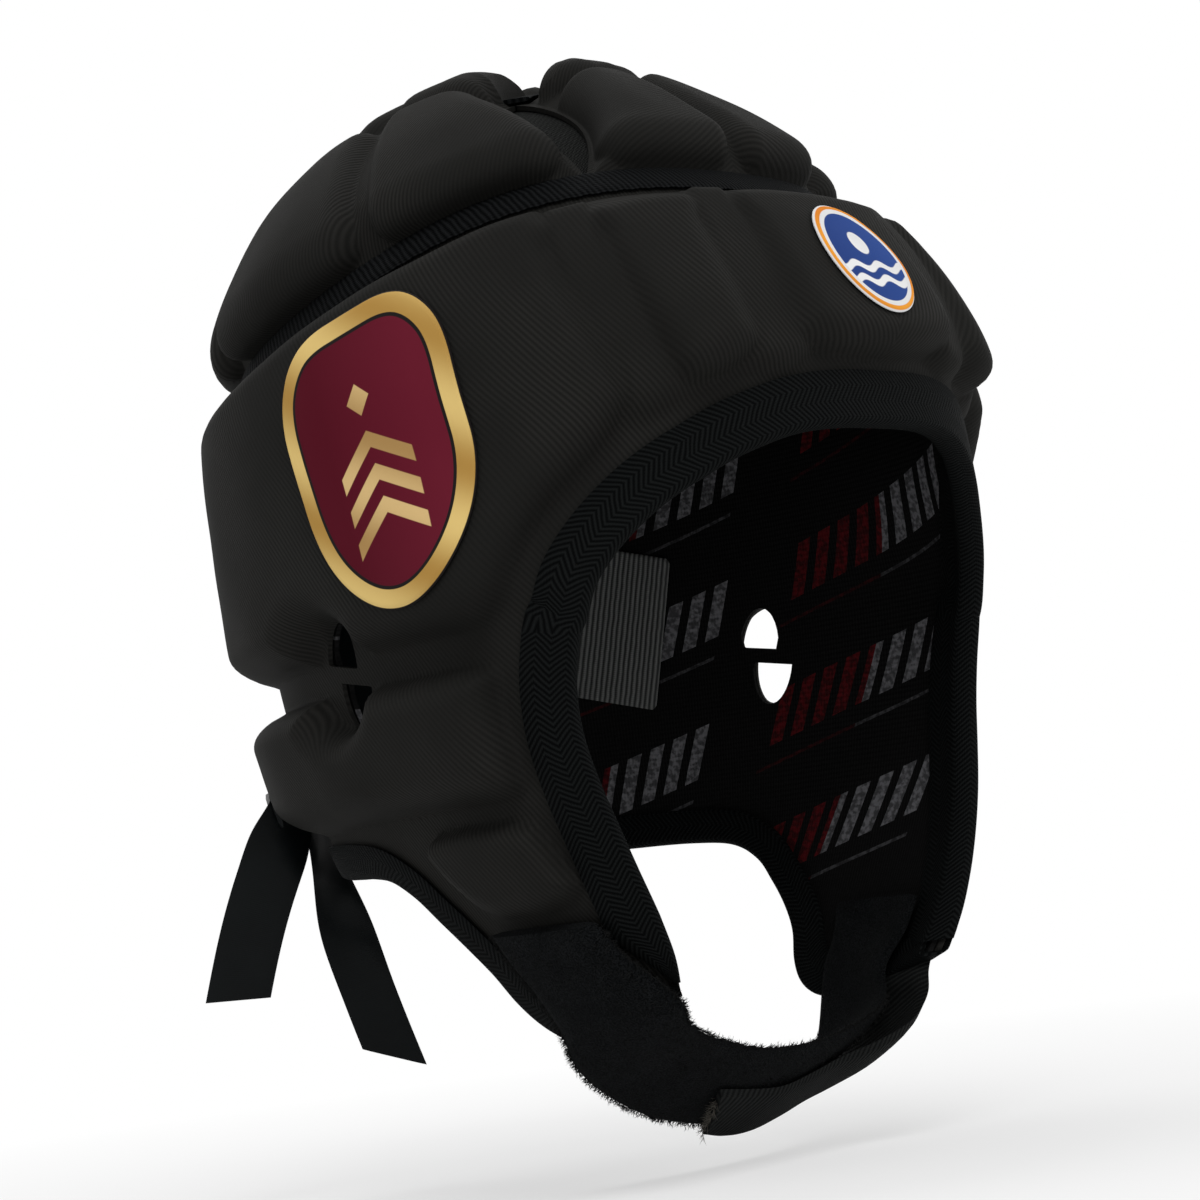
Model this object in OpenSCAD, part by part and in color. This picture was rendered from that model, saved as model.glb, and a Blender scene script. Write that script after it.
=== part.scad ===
// Soft padded sport headgear. The wearer faces -Y, the wearer's right side is -X, +Z is up, millimetres.
// The origin lies midway between the two ear openings.
// Places on the shell are given as [angle, level]: angle in degrees round the upright axis, 0 at the
// forehead and 180 at the back, and level in millimetres of height on the bare shell under the pads.

/* [Shell] */
// Half width of the bare shell at the temples
shell_half_width = 80; // [72:1:88]
// Distance from the ear line to the front of the bare shell
shell_front = 102.5; // [94:0.5:110]
// Distance from the ear line to the back of the bare shell
shell_rear = 80; // [72:1:90]
// Height of the bare crown over the ear line
crown_height = 138.5; // [128:0.5:150]
// Thickness of the fabric covers
cover_thickness = 1.2; // [0.8:0.1:1.6]
// Thickness of the inner liner
liner_thickness = 1.2; // [0.8:0.1:2]
// Space between cover and liner at the flat flanges
layer_gap = 0.6; // [0.4:0.1:1]

/* [Pads] */
// Height of the forehead, brow, temple and side pads over the shell
band_pad_height = 10.5; // [7:0.5:13]
// Height of the lower cheek pads
cheek_pad_height = 8; // [5:0.5:10]
// Height of the crown pads
crown_pad_height = 11; // [8:0.5:14]
// Width of the sloping rim of a pad
pad_rim = 8; // [6:0.5:10]
// Height that a foam block stays under its cover
foam_slack = 1.8; // [1.2:0.1:2.6]

/* [Edges] */
// Width of the binding round the face opening
face_binding_width = 11.5; // [9:0.5:13]
// Width of the binding along jaw and nape
jaw_binding_width = 7.5; // [6:0.5:9]
// Thickness of the binding tape
binding_thickness = 1.1; // [0.8:0.1:1.4]
// Clearance between neighbouring sewn layers
sewn_clearance = 0.3; // [0.2:0.05:0.4]
// Clearance between the cover and the outer leg of a binding
binding_clearance = 0.45; // [0.3:0.05:0.6]
// Clearance between the liner and the inner leg of a binding
liner_clearance = 0.7; // [0.4:0.1:1]
// Width of the tape over the seam between crown and band
seam_tape_width = 7; // [5:0.5:7.5]
// Width of the tape over the cross seam at the top of the crown
cross_tape_width = 8; // [6:0.5:10]
// Thickness of the seam tapes
tape_thickness = 1; // [0.8:0.1:1.4]

/* [Ear openings] */
// Length of each of the two openings in an ear web
ear_opening_length = 12; // [9:0.5:14]
// Height of each of the two openings in an ear web
ear_opening_height = 9; // [6:0.5:9]
// Width of the diagonal bar between the two openings
ear_bar = 4; // [3:0.5:6]
// Radius of the bare web round the openings
ear_web_radius = 11; // [9:0.5:12]
// Radius at which the ear recess reaches full pad height
ear_recess_radius = 18; // [16:0.5:20]

/* [Crown vents] */
// Half width of a leaf-shaped vent
vent_half_width = 5; // [3:0.5:7]
// Overlap of the vent mesh behind the crown panels
vent_mesh_lap = 4; // [3:0.5:6]
// Thickness of the vent mesh
vent_mesh_thickness = 0.8; // [0.6:0.1:1]

/* [Chin strap] */
// Thickness of the loop strap under the chin
loop_strap_thickness = 3.4; // [2.4:0.2:4]
// Thickness of the returning hook strap
hook_strap_thickness = 2.2; // [1.8:0.2:3]
// Clearance between the loop strap and the returning strap
strap_clearance = 1.2; // [0.8:0.1:2]
// Thickness of the hook tape patch on the returning strap
hook_tape_thickness = 0.6; // [0.4:0.1:0.8]
// Height of the strap slot in the left cheek
strap_slot_height = 6; // [5:0.5:8]

/* [Rear lacing] */
// Width of the lace ribbon
ribbon_width = 14; // [10:0.5:16]
// Thickness of the lace ribbon
ribbon_thickness = 1.2; // [0.8:0.1:1.4]
// Outer diameter of a lace eyelet
eyelet_diameter = 7; // [6:0.5:8]
// Bore of a lace eyelet
eyelet_bore = 4; // [3:0.5:4.5]
// Number of eyelets on each side of the rear opening
eyelet_rows = 3; // [2:1:4]

/* [Badges and label] */
// Width of the side badge
side_badge_width = 50; // [40:1:54]
// Height of the side badge
side_badge_height = 68; // [54:1:72]
// Diameter of the front badge
front_badge_diameter = 26; // [20:1:30]
// Thickness of the badges
badge_thickness = 1.2; // [0.8:0.1:1.6]
// Thickness of the inner label
label_thickness = 0.6; // [0.4:0.1:0.8]

/* [Hidden] */
// Shape of the bare shell: plan axis, level where the crown starts to close, and the bulge of each arch
axis_y = -12;
dome_level = 55;
crown_lean = 5;
plan_front_power = 2.3;
plan_rear_power = 1.95;
side_arch_power = 2;
front_arch_power = 1.45;
rear_arch_power = 2.45;
// Narrowing of the shell 100 mm below the dome level, and the outward flare of the cheeks
cheek_tuck = 12.2;
nape_tuck = 10;
nape_power_drop = 0.2;
cheek_flare = 8;
flare_angle = 58;
flare_spread = 24;
flare_level = 48;
flare_depth = 40;
// Real length of one degree on the band, for distances on the unrolled shell
arc_per_degree = 1.45;

liner_front = -cover_thickness - layer_gap;
liner_back = liner_front - liner_thickness;
crown_liner_front = liner_front - vent_mesh_thickness;
foam_back = -cover_thickness;
foam_least = 3.2;
binding_front = binding_clearance + binding_thickness;
binding_back = liner_back - liner_clearance - binding_thickness;

// The crown seam, and the level just below and above it
seam_split = 0.2;
seam_distance = 4.5;

// Free edge of the face opening from the forehead to the corner at ear level, each with its seam angle
// Each entry is [angle at the seam, angle at the edge, level at the edge]
brow_columns = [[0, 0, 42], [9, 7, 42], [17, 12.5, 41.6], [22, 16.5, 40.9], [25.5, 19.5, 40],
    [31, 23, 38.5], [39, 27.5, 36.2], [44, 30.5, 34.2], [48, 33, 32.3], [51.5, 35.5, 30.5],
    [57, 39.5, 27], [62, 43.5, 22.5], [67, 47.3, 17], [72, 50.5, 10.5]];
// Columns behind the corner: [angle at the seam, angle at ear level, angle at the lower edge, its level]
ear_columns = [[77, 53.6, 44.3, -80.5], [82, 62, 53.5, -84.5], [87, 68, 61, -87], [92, 74.5, 69, -88],
    [97, 81, 75.5, -86.8], [101, 87, 81, -83.5], [105, 92.5, 85, -78.5], [109, 98, 88, -71.5],
    [113, 103.5, 92, -65], [118, 109, 97, -58], [123, 115.5, 102, -51.5], [129, 123, 109, -46.8],
    [137, 133, 119, -45], [146, 144, 133, -44.3], [155, 154, 152, -44], [163, 162, 162, -44],
    [168, 167.5, 167.5, -44], [173, 173, 173, -44]];
ear_level = 0.5;
// Angle of the free face edge below the ear level, by level
face_edge = [[-80.5, 44.3], [-73, 45.2], [-63, 47.5], [-52, 50], [-42, 52], [-31, 54], [-20, 55.2],
    [-10, 55], [0.5, 53.6]];
// Levels of the grid rows below the ear level, over the cheek flap and over the nape
flap_levels = [0.5, -2.5, -9.5, -18, -27, -34, -37.5, -45, -53, -60, -70, -80.5];
nape_levels = [0.5, -2.5, -9.5, -18, -27, -34, -35.5, -37, -38.5, -40, -42, -44];
flap_end = -80.5;
nape_end = -44;
// Widths of the bare flange between a pad and the edge below it, by angle of the column's lower end
flange_widths = [[0, 15], [35, 15], [43.5, 16.5], [47.3, 18], [50.5, 19], [53.6, 21], [62, 9.5], [67, 3], [180, 3]];

// Angle where the rear pads end, in front of the strip with the eyelets
pad_end = 167;
// Pad outlines, clockwise from the top front corner
forehead_half = [[0, 99.5], [12, 99], [21.5, 97.5], [20.3, 80], [19.3, 68], [17.8, 58.5], [10, 56.3], [0, 55.5]];
forehead_outline = concat(forehead_half, [for (i = [6:-1:1]) [-forehead_half[i][0], forehead_half[i][1]]]);
brow_outline = [[25, 97], [36, 96.5], [46.3, 93.5], [44, 79], [40.3, 65], [36.5, 52.5], [33, 50.5],
    [27, 53.5], [21.8, 58.5], [22.8, 70], [23.8, 82]];
temple_outline = [[51, 97], [60, 95], [70, 91.5], [80, 88.5], [92, 84.2], [106, 79], [120, 74.8],
    [140, 71.5], [153, 70.7], [pad_end, 70.6], [pad_end, 40], [pad_end, 4], [150, 4], [130, 4], [112, 4], [98, 4],
    [82, 4], [66, 4], [62.5, 9], [59.5, 18], [55.5, 27], [50.5, 34.5], [45.5, 41], [41.5, 48.5],
    [41.5, 54], [44, 65], [47.6, 79], [50, 90]];
side_outline = [[64.5, -3], [80, -3], [98, -3], [115, -3], [140, -3], [pad_end, -3], [pad_end, -18], [pad_end, -34],
    [140, -34], [115, -34], [95, -34], [80, -34], [64, -34], [64.5, -25], [65.5, -14]];
cheek_outline = [[64, -38], [78, -37.3], [88, -38.5], [89.5, -44], [86, -51], [80.5, -58], [75, -60.5],
    [66, -59.5], [59.5, -57], [58, -54], [61, -46]];

// Crown seams: angle of the cross seam at the band, and how late it turns towards the side at the apex
cross_seam_angle = 43;
cross_seam_bend = 1.35;
crown_end = 0.97;
crown_arc = 95;
vent_start = 0.03;
vent_end = 0.72;
seam_half_gap = 0.15;
// Space between the cross tape and the crown pads, and below the tape
cross_tape_margin = 2.5;
cross_tape_lift = 0.7;
// Crown pads as [start, end] shares across their panel and [start, end] shares from seam to apex
front_blocks = [[[0.04, 0.86], [0.045, 0.58]], [[-0.8, 0.8], [0.62, 0.93]]];
rear_blocks = [[[0.06, 0.305], [0.045, 0.58]], [[0.335, 0.65], [0.045, 0.56]], [[0.69, 0.97], [0.045, 0.56]],
    [[0.06, 0.40], [0.62, 0.92]], [[0.49, 0.97], [0.60, 0.92]]];
// Widths of a block's slope on its side towards the cross seam, in the front and the rear panel
front_seam_rim = 11.5;
rear_seam_rim = 13;
// Height to which the cover bridges the gaps between the blocks, and the width of its slope at the seams
crown_bridge_height = 7.2;
crown_bridge_rim = 13;
crown_bridge_start = 0.045;
crown_bridge_margin = 1.5;
crown_rows = [0, 0.045, 0.1, 0.17, 0.28, 0.38, 0.46, 0.54, 0.59, 0.65, 0.72, 0.8, 0.88, 0.93, 0.97];
front_columns = [0, 0.04, 0.13, 0.24, 0.44, 0.62, 0.74, 0.86, 1];
rear_columns = [0, 0.06, 0.12, 0.18, 0.245, 0.305, 0.335, 0.4, 0.49, 0.58, 0.65, 0.69, 0.76, 0.85, 0.92, 0.97, 1];

ear_angle = 100;
ear_place_level = 0.5;

// The gusset under the rear opening, and the lacing across it
gusset_edge = 164.5;
gusset_levels = [-42.5, -30, -15, 0, 15, 30, 45, 60, 70];
eyelet_angle = 170.5;
eyelet_top = 40;
eyelet_step = 30;
lace_diameter = 1.8;
lace_height = 2.6;
// Height of the lace where it leaves an eyelet
lace_exit = 1.7;
keeper_angles = [191, 196, 201, 206, 211, 216];
keeper_levels = [-30, -21];
long_tail_angle = 210;
short_tail_angle = 199;
tail_level = -30.3;
long_tail_drift = [-15.9, 17.8, -44.3];
short_tail_drift = [8, -4, -56];
// Directions across the tails once each has turned over, and the share of the length where it has
long_tail_across = [-0.66, 0.74, -0.1];
short_tail_across = [-0.35, 0.93, 0];
tail_turn_share = 0.45;

// Chin strap edges on the right cheek as [angle, level], then under the chin as points
loop_root_front = [[-56, -62], [-52.5, -69.5], [-48.5, -76], [-45.5, -80.5]];
loop_root_rear = [[-80, -62], [-77, -69], [-74, -76], [-71.5, -84]];
loop_root_offsets = [1.7, 2.75, 2.85, 2.95];
loop_front = [[-45.5, -59, -85.5], [-35, -55.5, -89], [-18, -53, -94], [0, -51, -96], [18, -51.5, -94.5],
    [34, -52.5, -89.5]];
loop_rear = [[-49, -28, -93.5], [-38.5, -26, -101], [-21, -25.5, -109], [0, -26.5, -112.5], [20, -27, -109],
    [36, -27.5, -99.5]];
// How far the strap's end passes inside the left flap, further at its lower edge
loop_end_dips = [1.4, 0, 0];
loop_end_front = [[49, -80], [50, -73], [51, -66]];
loop_end_rear = [[71.5, -80], [73.5, -73], [75, -66]];
// The hook strap hangs from a straight line under the left jaw binding, on its outer face
hook_root_front = [45.5, -85.4];
hook_root_rear = [71.5, -90.8];
hook_front = [[44.6, -59.2, -89.9], [39.5, -58.5, -94]];
hook_rear = [[47.6, -28.3, -98.2], [43.5, -28, -104]];
hook_first = 2;
hook_last = 4;
hook_tape_share = 0.75;
strap_bulge = 1.2;
hook_bulges = [2.2, 2.2, 0.9];

// Ear openings, badges and label
ear_cut_reach = 30;
ear_bar_slope = 10;
ear_opening_stagger = 2.5;
side_badge_place = [79, 44];
side_badge_turn = 12;
front_badge_place = [0, 77];
badge_clearance = 0.95;
label_place = [132, 16];
label_turn = 15;
label_width = 24;
label_height = 36;
label_clearance = 0.6;
loop_end_offset = binding_back - 0.6 - loop_strap_thickness;
hook_root_offset = 1;

// Scalars, shares and sums
function ease(t) = let (c = min(max(t, 0), 1)) c * c * (3 - 2 * c);
function mix(a, b, t) = a + (b - a) * t;
function unit(v) = v / norm(v);
function total(list) = list * [for (v = list) 1];

// The bare shell: radius from the upright axis, then the point with its offset outwards
function up_share(level) = min(max((level - dome_level) / (crown_height - dome_level), 0), 1);
function down_share(level) = max((dome_level - level) / 100, 0);
function arch(u, power) = pow(max(1 - pow(u, power), 0), 1 / power);
function flare(angle, level) =
    cheek_flare * exp(-pow((abs(angle) - flare_angle) / flare_spread, 2)) * ease((flare_level - level) / flare_depth);
function shell_radius(angle, level, offset) =
    let (up = up_share(level), low = down_share(level), front = cos(angle) > 0,
        side = (shell_half_width + offset) * arch(up, side_arch_power) - cheek_tuck * pow(low, 3),
        ahead = (shell_front + axis_y + offset) * arch(up, front_arch_power),
        behind = (shell_rear - axis_y + offset) * arch(up, rear_arch_power) - nape_tuck * pow(low, 3),
        depth = front ? ahead : behind,
        power = front ? plan_front_power : plan_rear_power - nape_power_drop * low * low)
    pow(pow(abs(sin(angle)) / max(side, 0.001), power) + pow(abs(cos(angle)) / max(depth, 0.001), power), -1 / power)
    + flare(angle, level);
function shell_point(angle, level, offset = 0) =
    let (up = up_share(level), r = shell_radius(angle, level, offset),
        z = level > dome_level ? dome_level + (crown_height + offset - dome_level) * up : level)
    [r * sin(angle), axis_y - crown_lean * up * up - r * cos(angle), z];
function place_point(place, offset = 0) = shell_point(place[0], place[1], offset);

// Level of the seam between band and crown, highest at the forehead
function seam_level(angle) = 90.5 + 16.5 * cos(angle) - 2 * cos(3 * angle);

// Distances on the unrolled band
function flat(place) = [place[0] * arc_per_degree, place[1]];
function segment_distance(p, a, b) =
    let (ab = b - a, t = min(max((p - a) * ab / (ab * ab), 0), 1)) norm(p - a - t * ab);
function crosses(p, a, b) =
    (a[1] > p[1]) != (b[1] > p[1]) && p[0] < a[0] + (p[1] - a[1]) * (b[0] - a[0]) / (b[1] - a[1]);
function is_inside(p, line) =
    let (n = len(line)) total([for (i = [0:n - 1]) crosses(p, line[i], line[(i + 1) % n]) ? 1 : 0]) % 2 == 1;
function depth_inside(place, outline) =
    let (p = flat(place), line = [for (q = outline) flat(q)], n = len(line),
        d = min([for (i = [0:n - 1]) segment_distance(p, line[i], line[(i + 1) % n])]))
    is_inside(p, line) ? d : -d;
function ear_distance(place) = norm(flat([abs(place[0]), place[1]]) - flat([ear_angle, ear_place_level]));
function ear_limit(place) = (ear_distance(place) - ear_web_radius) / (ear_recess_radius - ear_web_radius);

// Height of a band pad at a place, sloping down at its rim and to the bare web of the ear
function pad_rise(place, outline, height) =
    height * min(max(min(depth_inside(place, outline) / pad_rim, ear_limit(place)), 0), 1);
function band_relief(place) =
    let (p = [abs(place[0]), place[1]])
    max(pad_rise(p, forehead_outline, band_pad_height), pad_rise(p, brow_outline, band_pad_height),
        pad_rise(p, temple_outline, band_pad_height), pad_rise(p, side_outline, band_pad_height),
        pad_rise(p, cheek_outline, cheek_pad_height));

// Closed solids from triangles; the faces are turned round if they come out inside out
function signed_volume(points, faces) =
    total([for (f = faces) points[f[0]] * cross(points[f[1]], points[f[2]])]);
function turned(faces) = [for (f = faces) [f[2], f[1], f[0]]];
module solid(points, faces) {
    polyhedron(points, signed_volume(points, faces) > 0 ? turned(faces) : faces, convexity = 10);
}

// A skin between an outer and an inner grid of points, over the cells that are kept; the cells on the
// wearer's right are split the other way, so that both sides mirror each other
module skin(outer, inner, keep, is_right = function (j) false) {
    rows = len(outer);
    cols = len(outer[0]);
    back = rows * cols;
    at = function (i, j) i * cols + j;
    has = function (i, j) i >= 0 && j >= 0 && i < rows - 1 && j < cols - 1 && keep(i, j);
    cells = [for (i = [0:rows - 2], j = [0:cols - 2]) if (keep(i, j)) [i, j]];
    fronts = [for (c = cells) let (a = at(c[0], c[1]), b = a + 1, d = a + cols, e = d + 1)
        each is_right(c[1])
            ? [[a, b, d], [b, e, d], [a + back, d + back, b + back], [b + back, d + back, e + back]]
            : [[a, b, e], [a, e, d], [a + back, e + back, b + back], [a + back, d + back, e + back]]];
    walls = [for (c = cells) let (i = c[0], j = c[1], a = at(i, j), b = a + 1, d = a + cols, e = d + 1)
        each concat(has(i - 1, j) ? [] : [[b, a, a + back], [b, a + back, b + back]],
            has(i, j + 1) ? [] : [[e, b, b + back], [e, b + back, e + back]],
            has(i + 1, j) ? [] : [[d, e, e + back], [d, e + back, d + back]],
            has(i, j - 1) ? [] : [[a, d, d + back], [a, d + back, a + back]])];
    solid([for (row = outer) each row, for (row = inner) each row], concat(fronts, walls));
}

// A bar swept through rings of equal length, open with two end caps, or closed on itself
module sweep(rings, closed = false, cap = undef) {
    n = len(rings);
    k = len(rings[0]);
    end = is_undef(cap) ? [for (j = [1:k - 2]) [0, j + 1, j]] : cap;
    sides = [for (i = [0:n - (closed ? 1 : 2)], j = [0:k - 1])
        let (a = i * k + j, b = i * k + (j + 1) % k, d = ((i + 1) % n) * k + j, e = ((i + 1) % n) * k + (j + 1) % k)
        each [[a, b, e], [a, e, d]]];
    last = (n - 1) * k;
    caps = closed ? [] : [for (f = end) each [f, [last + f[2], last + f[1], last + f[0]]]];
    solid([for (ring = rings) each ring], concat(sides, caps));
}

// A closed cap: rows of rings from its rim up to an apex, on an outer and an inner face
module dome(outer, inner, tops) {
    rows = len(outer);
    k = len(outer[0]);
    back = rows * k;
    apex = 2 * back;
    fronts = [for (i = [0:rows - 2], j = [0:k - 1])
        let (a = i * k + j, b = i * k + (j + 1) % k, d = a + k, e = b + k)
        each [[a, b, e], [a, e, d], [a + back, e + back, b + back], [a + back, d + back, e + back]]];
    ends = [for (j = [0:k - 1]) let (b = (j + 1) % k, c = (rows - 1) * k)
        each [[c + j, c + b, apex], [c + b + back, c + j + back, apex + 1], [b, j, j + back], [b, j + back, b + back]]];
    solid([for (row = outer) each row, for (row = inner) each row, each tops], concat(fronts, ends));
}

// A patch lying on the shell: rings of an outline round a centre, between two offsets
module patch(centre, outline, turn, low, high) {
    n = len(outline);
    shares = [1 / 3, 2 / 3, 1];
    back = 1 + 3 * n;
    on_shell = function (uv, offset) let (c = cos(turn), s = sin(turn))
        shell_point(centre[0] + (uv[0] * c - uv[1] * s) / arc_per_degree, centre[1] + uv[0] * s + uv[1] * c, offset);
    layer = function (offset) [on_shell([0, 0], offset), for (share = shares, uv = outline) on_shell(uv * share, offset)];
    fans = [for (j = [0:n - 1]) let (b = (j + 1) % n) each [[0, 1 + j, 1 + b], [back, back + 1 + b, back + 1 + j]]];
    bands = [for (i = [0:1], j = [0:n - 1]) let (a = 1 + i * n + j, b = 1 + i * n + (j + 1) % n, d = a + n, e = b + n)
        each [[a, d, e], [a, e, b], [a + back, e + back, d + back], [a + back, b + back, e + back]]];
    rim = [for (j = [0:n - 1]) let (a = 1 + 2 * n + j, b = 1 + 2 * n + (j + 1) % n)
        each [[a, a + back, b + back], [a, b + back, b]]];
    solid(concat(layer(high), layer(low)), concat(fans, bands, rim));
}

module on_side(side) {
    if (side < 0) mirror([1, 0, 0]) children();
    else children();
}

// Grid of places on the left half of the band, from the seam down to the brow edge and the ear level
function flange_width(angle) = lookup(angle, flange_widths);
function upper_share(length, flange, row) =
    let (second = seam_distance + pad_rim, last = length - flange, fourth = last - pad_rim,
        steps = [0, seam_distance, second, mix(second, fourth, 0.25), mix(second, fourth, 0.5),
            mix(second, fourth, 0.75), fourth, last, last + flange / 2, length])
    steps[row] / length;
upper_rows = 10;
pad_rows = 7;
function upper_place(column, row) =
    let (top = [column[0], seam_level(column[0]) - seam_split], end = [column[1], column[2]],
        share = upper_share(norm(flat(top) - flat(end)), flange_width(column[1]), row))
    mix(top, end, share);

// Places below the ear level; the front columns follow the face edge, those behind run straight
function lower_place(column, row) =
    let (bend = min(max((nape_end - column[3]) / (nape_end - flap_end), 0), 1),
        level = row == len(flap_levels) - 1 ? column[3] : mix(nape_levels[row], flap_levels[row], bend),
        share = (ear_level - level) / (ear_level - column[3]),
        corner = ear_columns[0],
        corner_share = (ear_level - max(level, corner[3])) / (ear_level - corner[3]),
        bow = lookup(max(level, corner[3]), face_edge) - mix(corner[1], corner[2], corner_share),
        fade = max(1 - (column[1] - corner[1]) / 30, 0))
    [mix(column[1], column[2], share) + bow * fade, level];

band_columns = concat(brow_columns, [for (c = ear_columns) [c[0], c[1], ear_level]]);
corner_index = len(brow_columns);
half_columns = len(band_columns);
grid_rows = upper_rows + len(flap_levels) - 1;
function band_place(row, col) =
    let (place = row < upper_rows ? upper_place(band_columns[abs(col)], row)
        : lower_place(ear_columns[max(abs(col) - corner_index, 0)], row - upper_rows + 1))
    [sign(col) * place[0], place[1]];
function is_flange(row, col) =
    let (c = abs(col)) row == grid_rows - 1 || (row < upper_rows ? row >= pad_rows && c < corner_index + 2
        : c < corner_index + 2);
function in_band(row, col) = row < upper_rows - 1 || min(abs(col), abs(col + 1)) >= corner_index;

// The cover and the liner of the band, over grid rows from the list and columns out to the last one, with
// the flap's front edge drawn in by an angle
function drawn_place(row, col, inset) =
    band_place(row, col) + (abs(col) == corner_index && row >= upper_rows - 1 ? [sign(col) * inset, 0] : [0, 0]);
module band_skin(rows, last_col, front, back, inset = 0) {
    outer = [for (i = rows) [for (c = [-last_col:last_col]) place_point(drawn_place(i, c, inset), front(i, c))]];
    inner = [for (i = rows) [for (c = [-last_col:last_col]) place_point(drawn_place(i, c, inset), back(i, c))]];
    skin(outer, inner, function (i, j) in_band(rows[i], j - last_col), function (j) j < last_col);
}
function cover_rise(row, col) = is_flange(row, col) ? 0 : band_relief(band_place(row, col));

// The two openings of an ear web, cut through cover and liner along X
module ear_openings() {
    for (side = [-1, 1])
        translate(shell_point(side * ear_angle, ear_place_level) - [ear_cut_reach / 2, 0, 0])
            rotate([90, 0, 90]) linear_extrude(ear_cut_reach) rotate(-ear_bar_slope)
                for (half = [1, -1]) translate([half * ear_opening_stagger, 0]) intersection() {
                    translate([0, half * ear_bar / 2])
                        resize([ear_opening_length, 2 * ear_opening_height]) circle(d = ear_opening_length, $fn = 24);
                    translate([-ear_opening_length, half > 0 ? ear_bar / 2 : -ear_bar / 2 - 2 * ear_opening_height])
                        square([2 * ear_opening_length, 2 * ear_opening_height]);
                }
}

// Stands a child square on the shell, with its Z axis outwards and its Y axis up
module stand(angle, level, offset = 0) {
    across = shell_point(angle + 1, level, offset) - shell_point(angle - 1, level, offset);
    rise = shell_point(angle, level + 1, offset) - shell_point(angle, level - 1, offset);
    out = unit(cross(across, rise));
    x = unit(cross([0, 0, 1], out));
    y = cross(out, x);
    p = shell_point(angle, level, offset);
    multmatrix([[x[0], y[0], out[0], p[0]], [x[1], y[1], out[1], p[1]], [x[2], y[2], out[2], p[2]]]) children();
}
module at_eyelets() {
    for (side = [-1, 1], row = [0:eyelet_rows - 1])
        stand(side * eyelet_angle, eyelet_top - row * eyelet_step) children();
}

module band_cover() {
    color([0.13, 0.13, 0.12]) difference() {
        band_skin([for (i = [0:grid_rows - 1]) i], half_columns - 1, function (i, c) cover_rise(i, c),
            function (i, c) cover_rise(i, c) - cover_thickness);
        ear_openings();
        at_eyelets() cylinder(d = eyelet_bore + 1.6, h = 8, center = true, $fn = 20);
    }
}

// Angle by which the liner stays behind the front edge of a flap
liner_inset = 0.8;
liner_rows = [0, 2, 3, 4, 5, 6, 7, 8, 9, 11, 13, 15, 17, 19, 20];
module band_liner() {
    color([0.08, 0.08, 0.08]) difference() {
        band_skin(liner_rows, half_columns - 3, function (i, c) liner_front, function (i, c) liner_back, liner_inset);
        ear_openings();
    }
}

// Foam of a band pad: the cells of the band grid that lie well inside the pad
module pad_foam(outline, height, first, last) {
    rises = [for (i = [0:grid_rows - 1]) [for (c = [first:last])
        is_flange(i, c) || !(i < upper_rows || abs(c) >= corner_index) ? 0
        : pad_rise([abs(band_place(i, c)[0]), band_place(i, c)[1]], outline, height)]];
    filled = function (i, j) min(rises[i][j], rises[i][j + 1], rises[i + 1][j], rises[i + 1][j + 1]) >= foam_least;
    top = [for (i = [0:grid_rows - 1]) [for (c = [first:last])
        place_point(band_place(i, c), max(rises[i][c - first], foam_least) - foam_slack)]];
    bottom = [for (i = [0:grid_rows - 1]) [for (c = [first:last]) place_point(band_place(i, c), foam_back)]];
    skin(top, bottom, filled, function (j) first + j < 0);
}
foam_colour = [0.24, 0.24, 0.25];
module forehead_foam() { color(foam_colour) pad_foam(forehead_outline, band_pad_height, -6, 6); }
module brow_foam(side) { color(foam_colour) on_side(side) pad_foam(brow_outline, band_pad_height, 2, 9); }
module temple_foam(side) {
    color(foam_colour) on_side(side) pad_foam(temple_outline, band_pad_height, 6, half_columns - 1);
}
module side_foam(side) {
    color(foam_colour) on_side(side) pad_foam(side_outline, band_pad_height, corner_index, half_columns - 1);
}
module cheek_foam(side) {
    color(foam_colour) on_side(side) pad_foam(cheek_outline, cheek_pad_height, corner_index, corner_index + 10);
}
module brow_foam_right() { brow_foam(-1); }
module brow_foam_left() { brow_foam(1); }
module temple_foam_right() { temple_foam(-1); }
module temple_foam_left() { temple_foam(1); }
module side_foam_right() { side_foam(-1); }
module side_foam_left() { side_foam(1); }
module cheek_foam_right() { cheek_foam(-1); }
module cheek_foam_left() { cheek_foam(1); }

// The crown: a place at an angle and a share of the arc from the seam to the apex
dome_rise = crown_height - dome_level;
function crown_place(angle, share) =
    let (start = asin((seam_level(angle) + seam_split - dome_level) / dome_rise))
    [angle, dome_level + dome_rise * sin(mix(start, 90, share))];
function crown_radius(angle, share) = let (p = crown_place(angle, share)) shell_radius(p[0], p[1], 0);
function cross_angle(share) =
    mix(cross_seam_angle, 90, ease(pow(share, cross_seam_bend)));
function vent_half(share) =
    let (t = (share - vent_start) / (vent_end - vent_start))
    seam_half_gap + (t > 0 && t < 1 ? vent_half_width * pow(sin(180 * t), 0.8) : 0);
function as_angle(length, share) = length / crown_radius(cross_angle(share), share) * 180 / PI;
function front_edge_angle(share) = cross_angle(share) - as_angle(vent_half(share), share);
function rear_edge_angle(share) = cross_angle(share) + as_angle(vent_half(share), share);
function front_place(across, share) = crown_place(across * front_edge_angle(share), share);
function rear_place(across, share) =
    let (half = mix(rear_edge_angle(share), 180, across > 1 ? 2 - across : across),
        place = crown_place(half, share))
    [across > 1 ? 360 - place[0] : place[0], place[1]];

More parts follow.
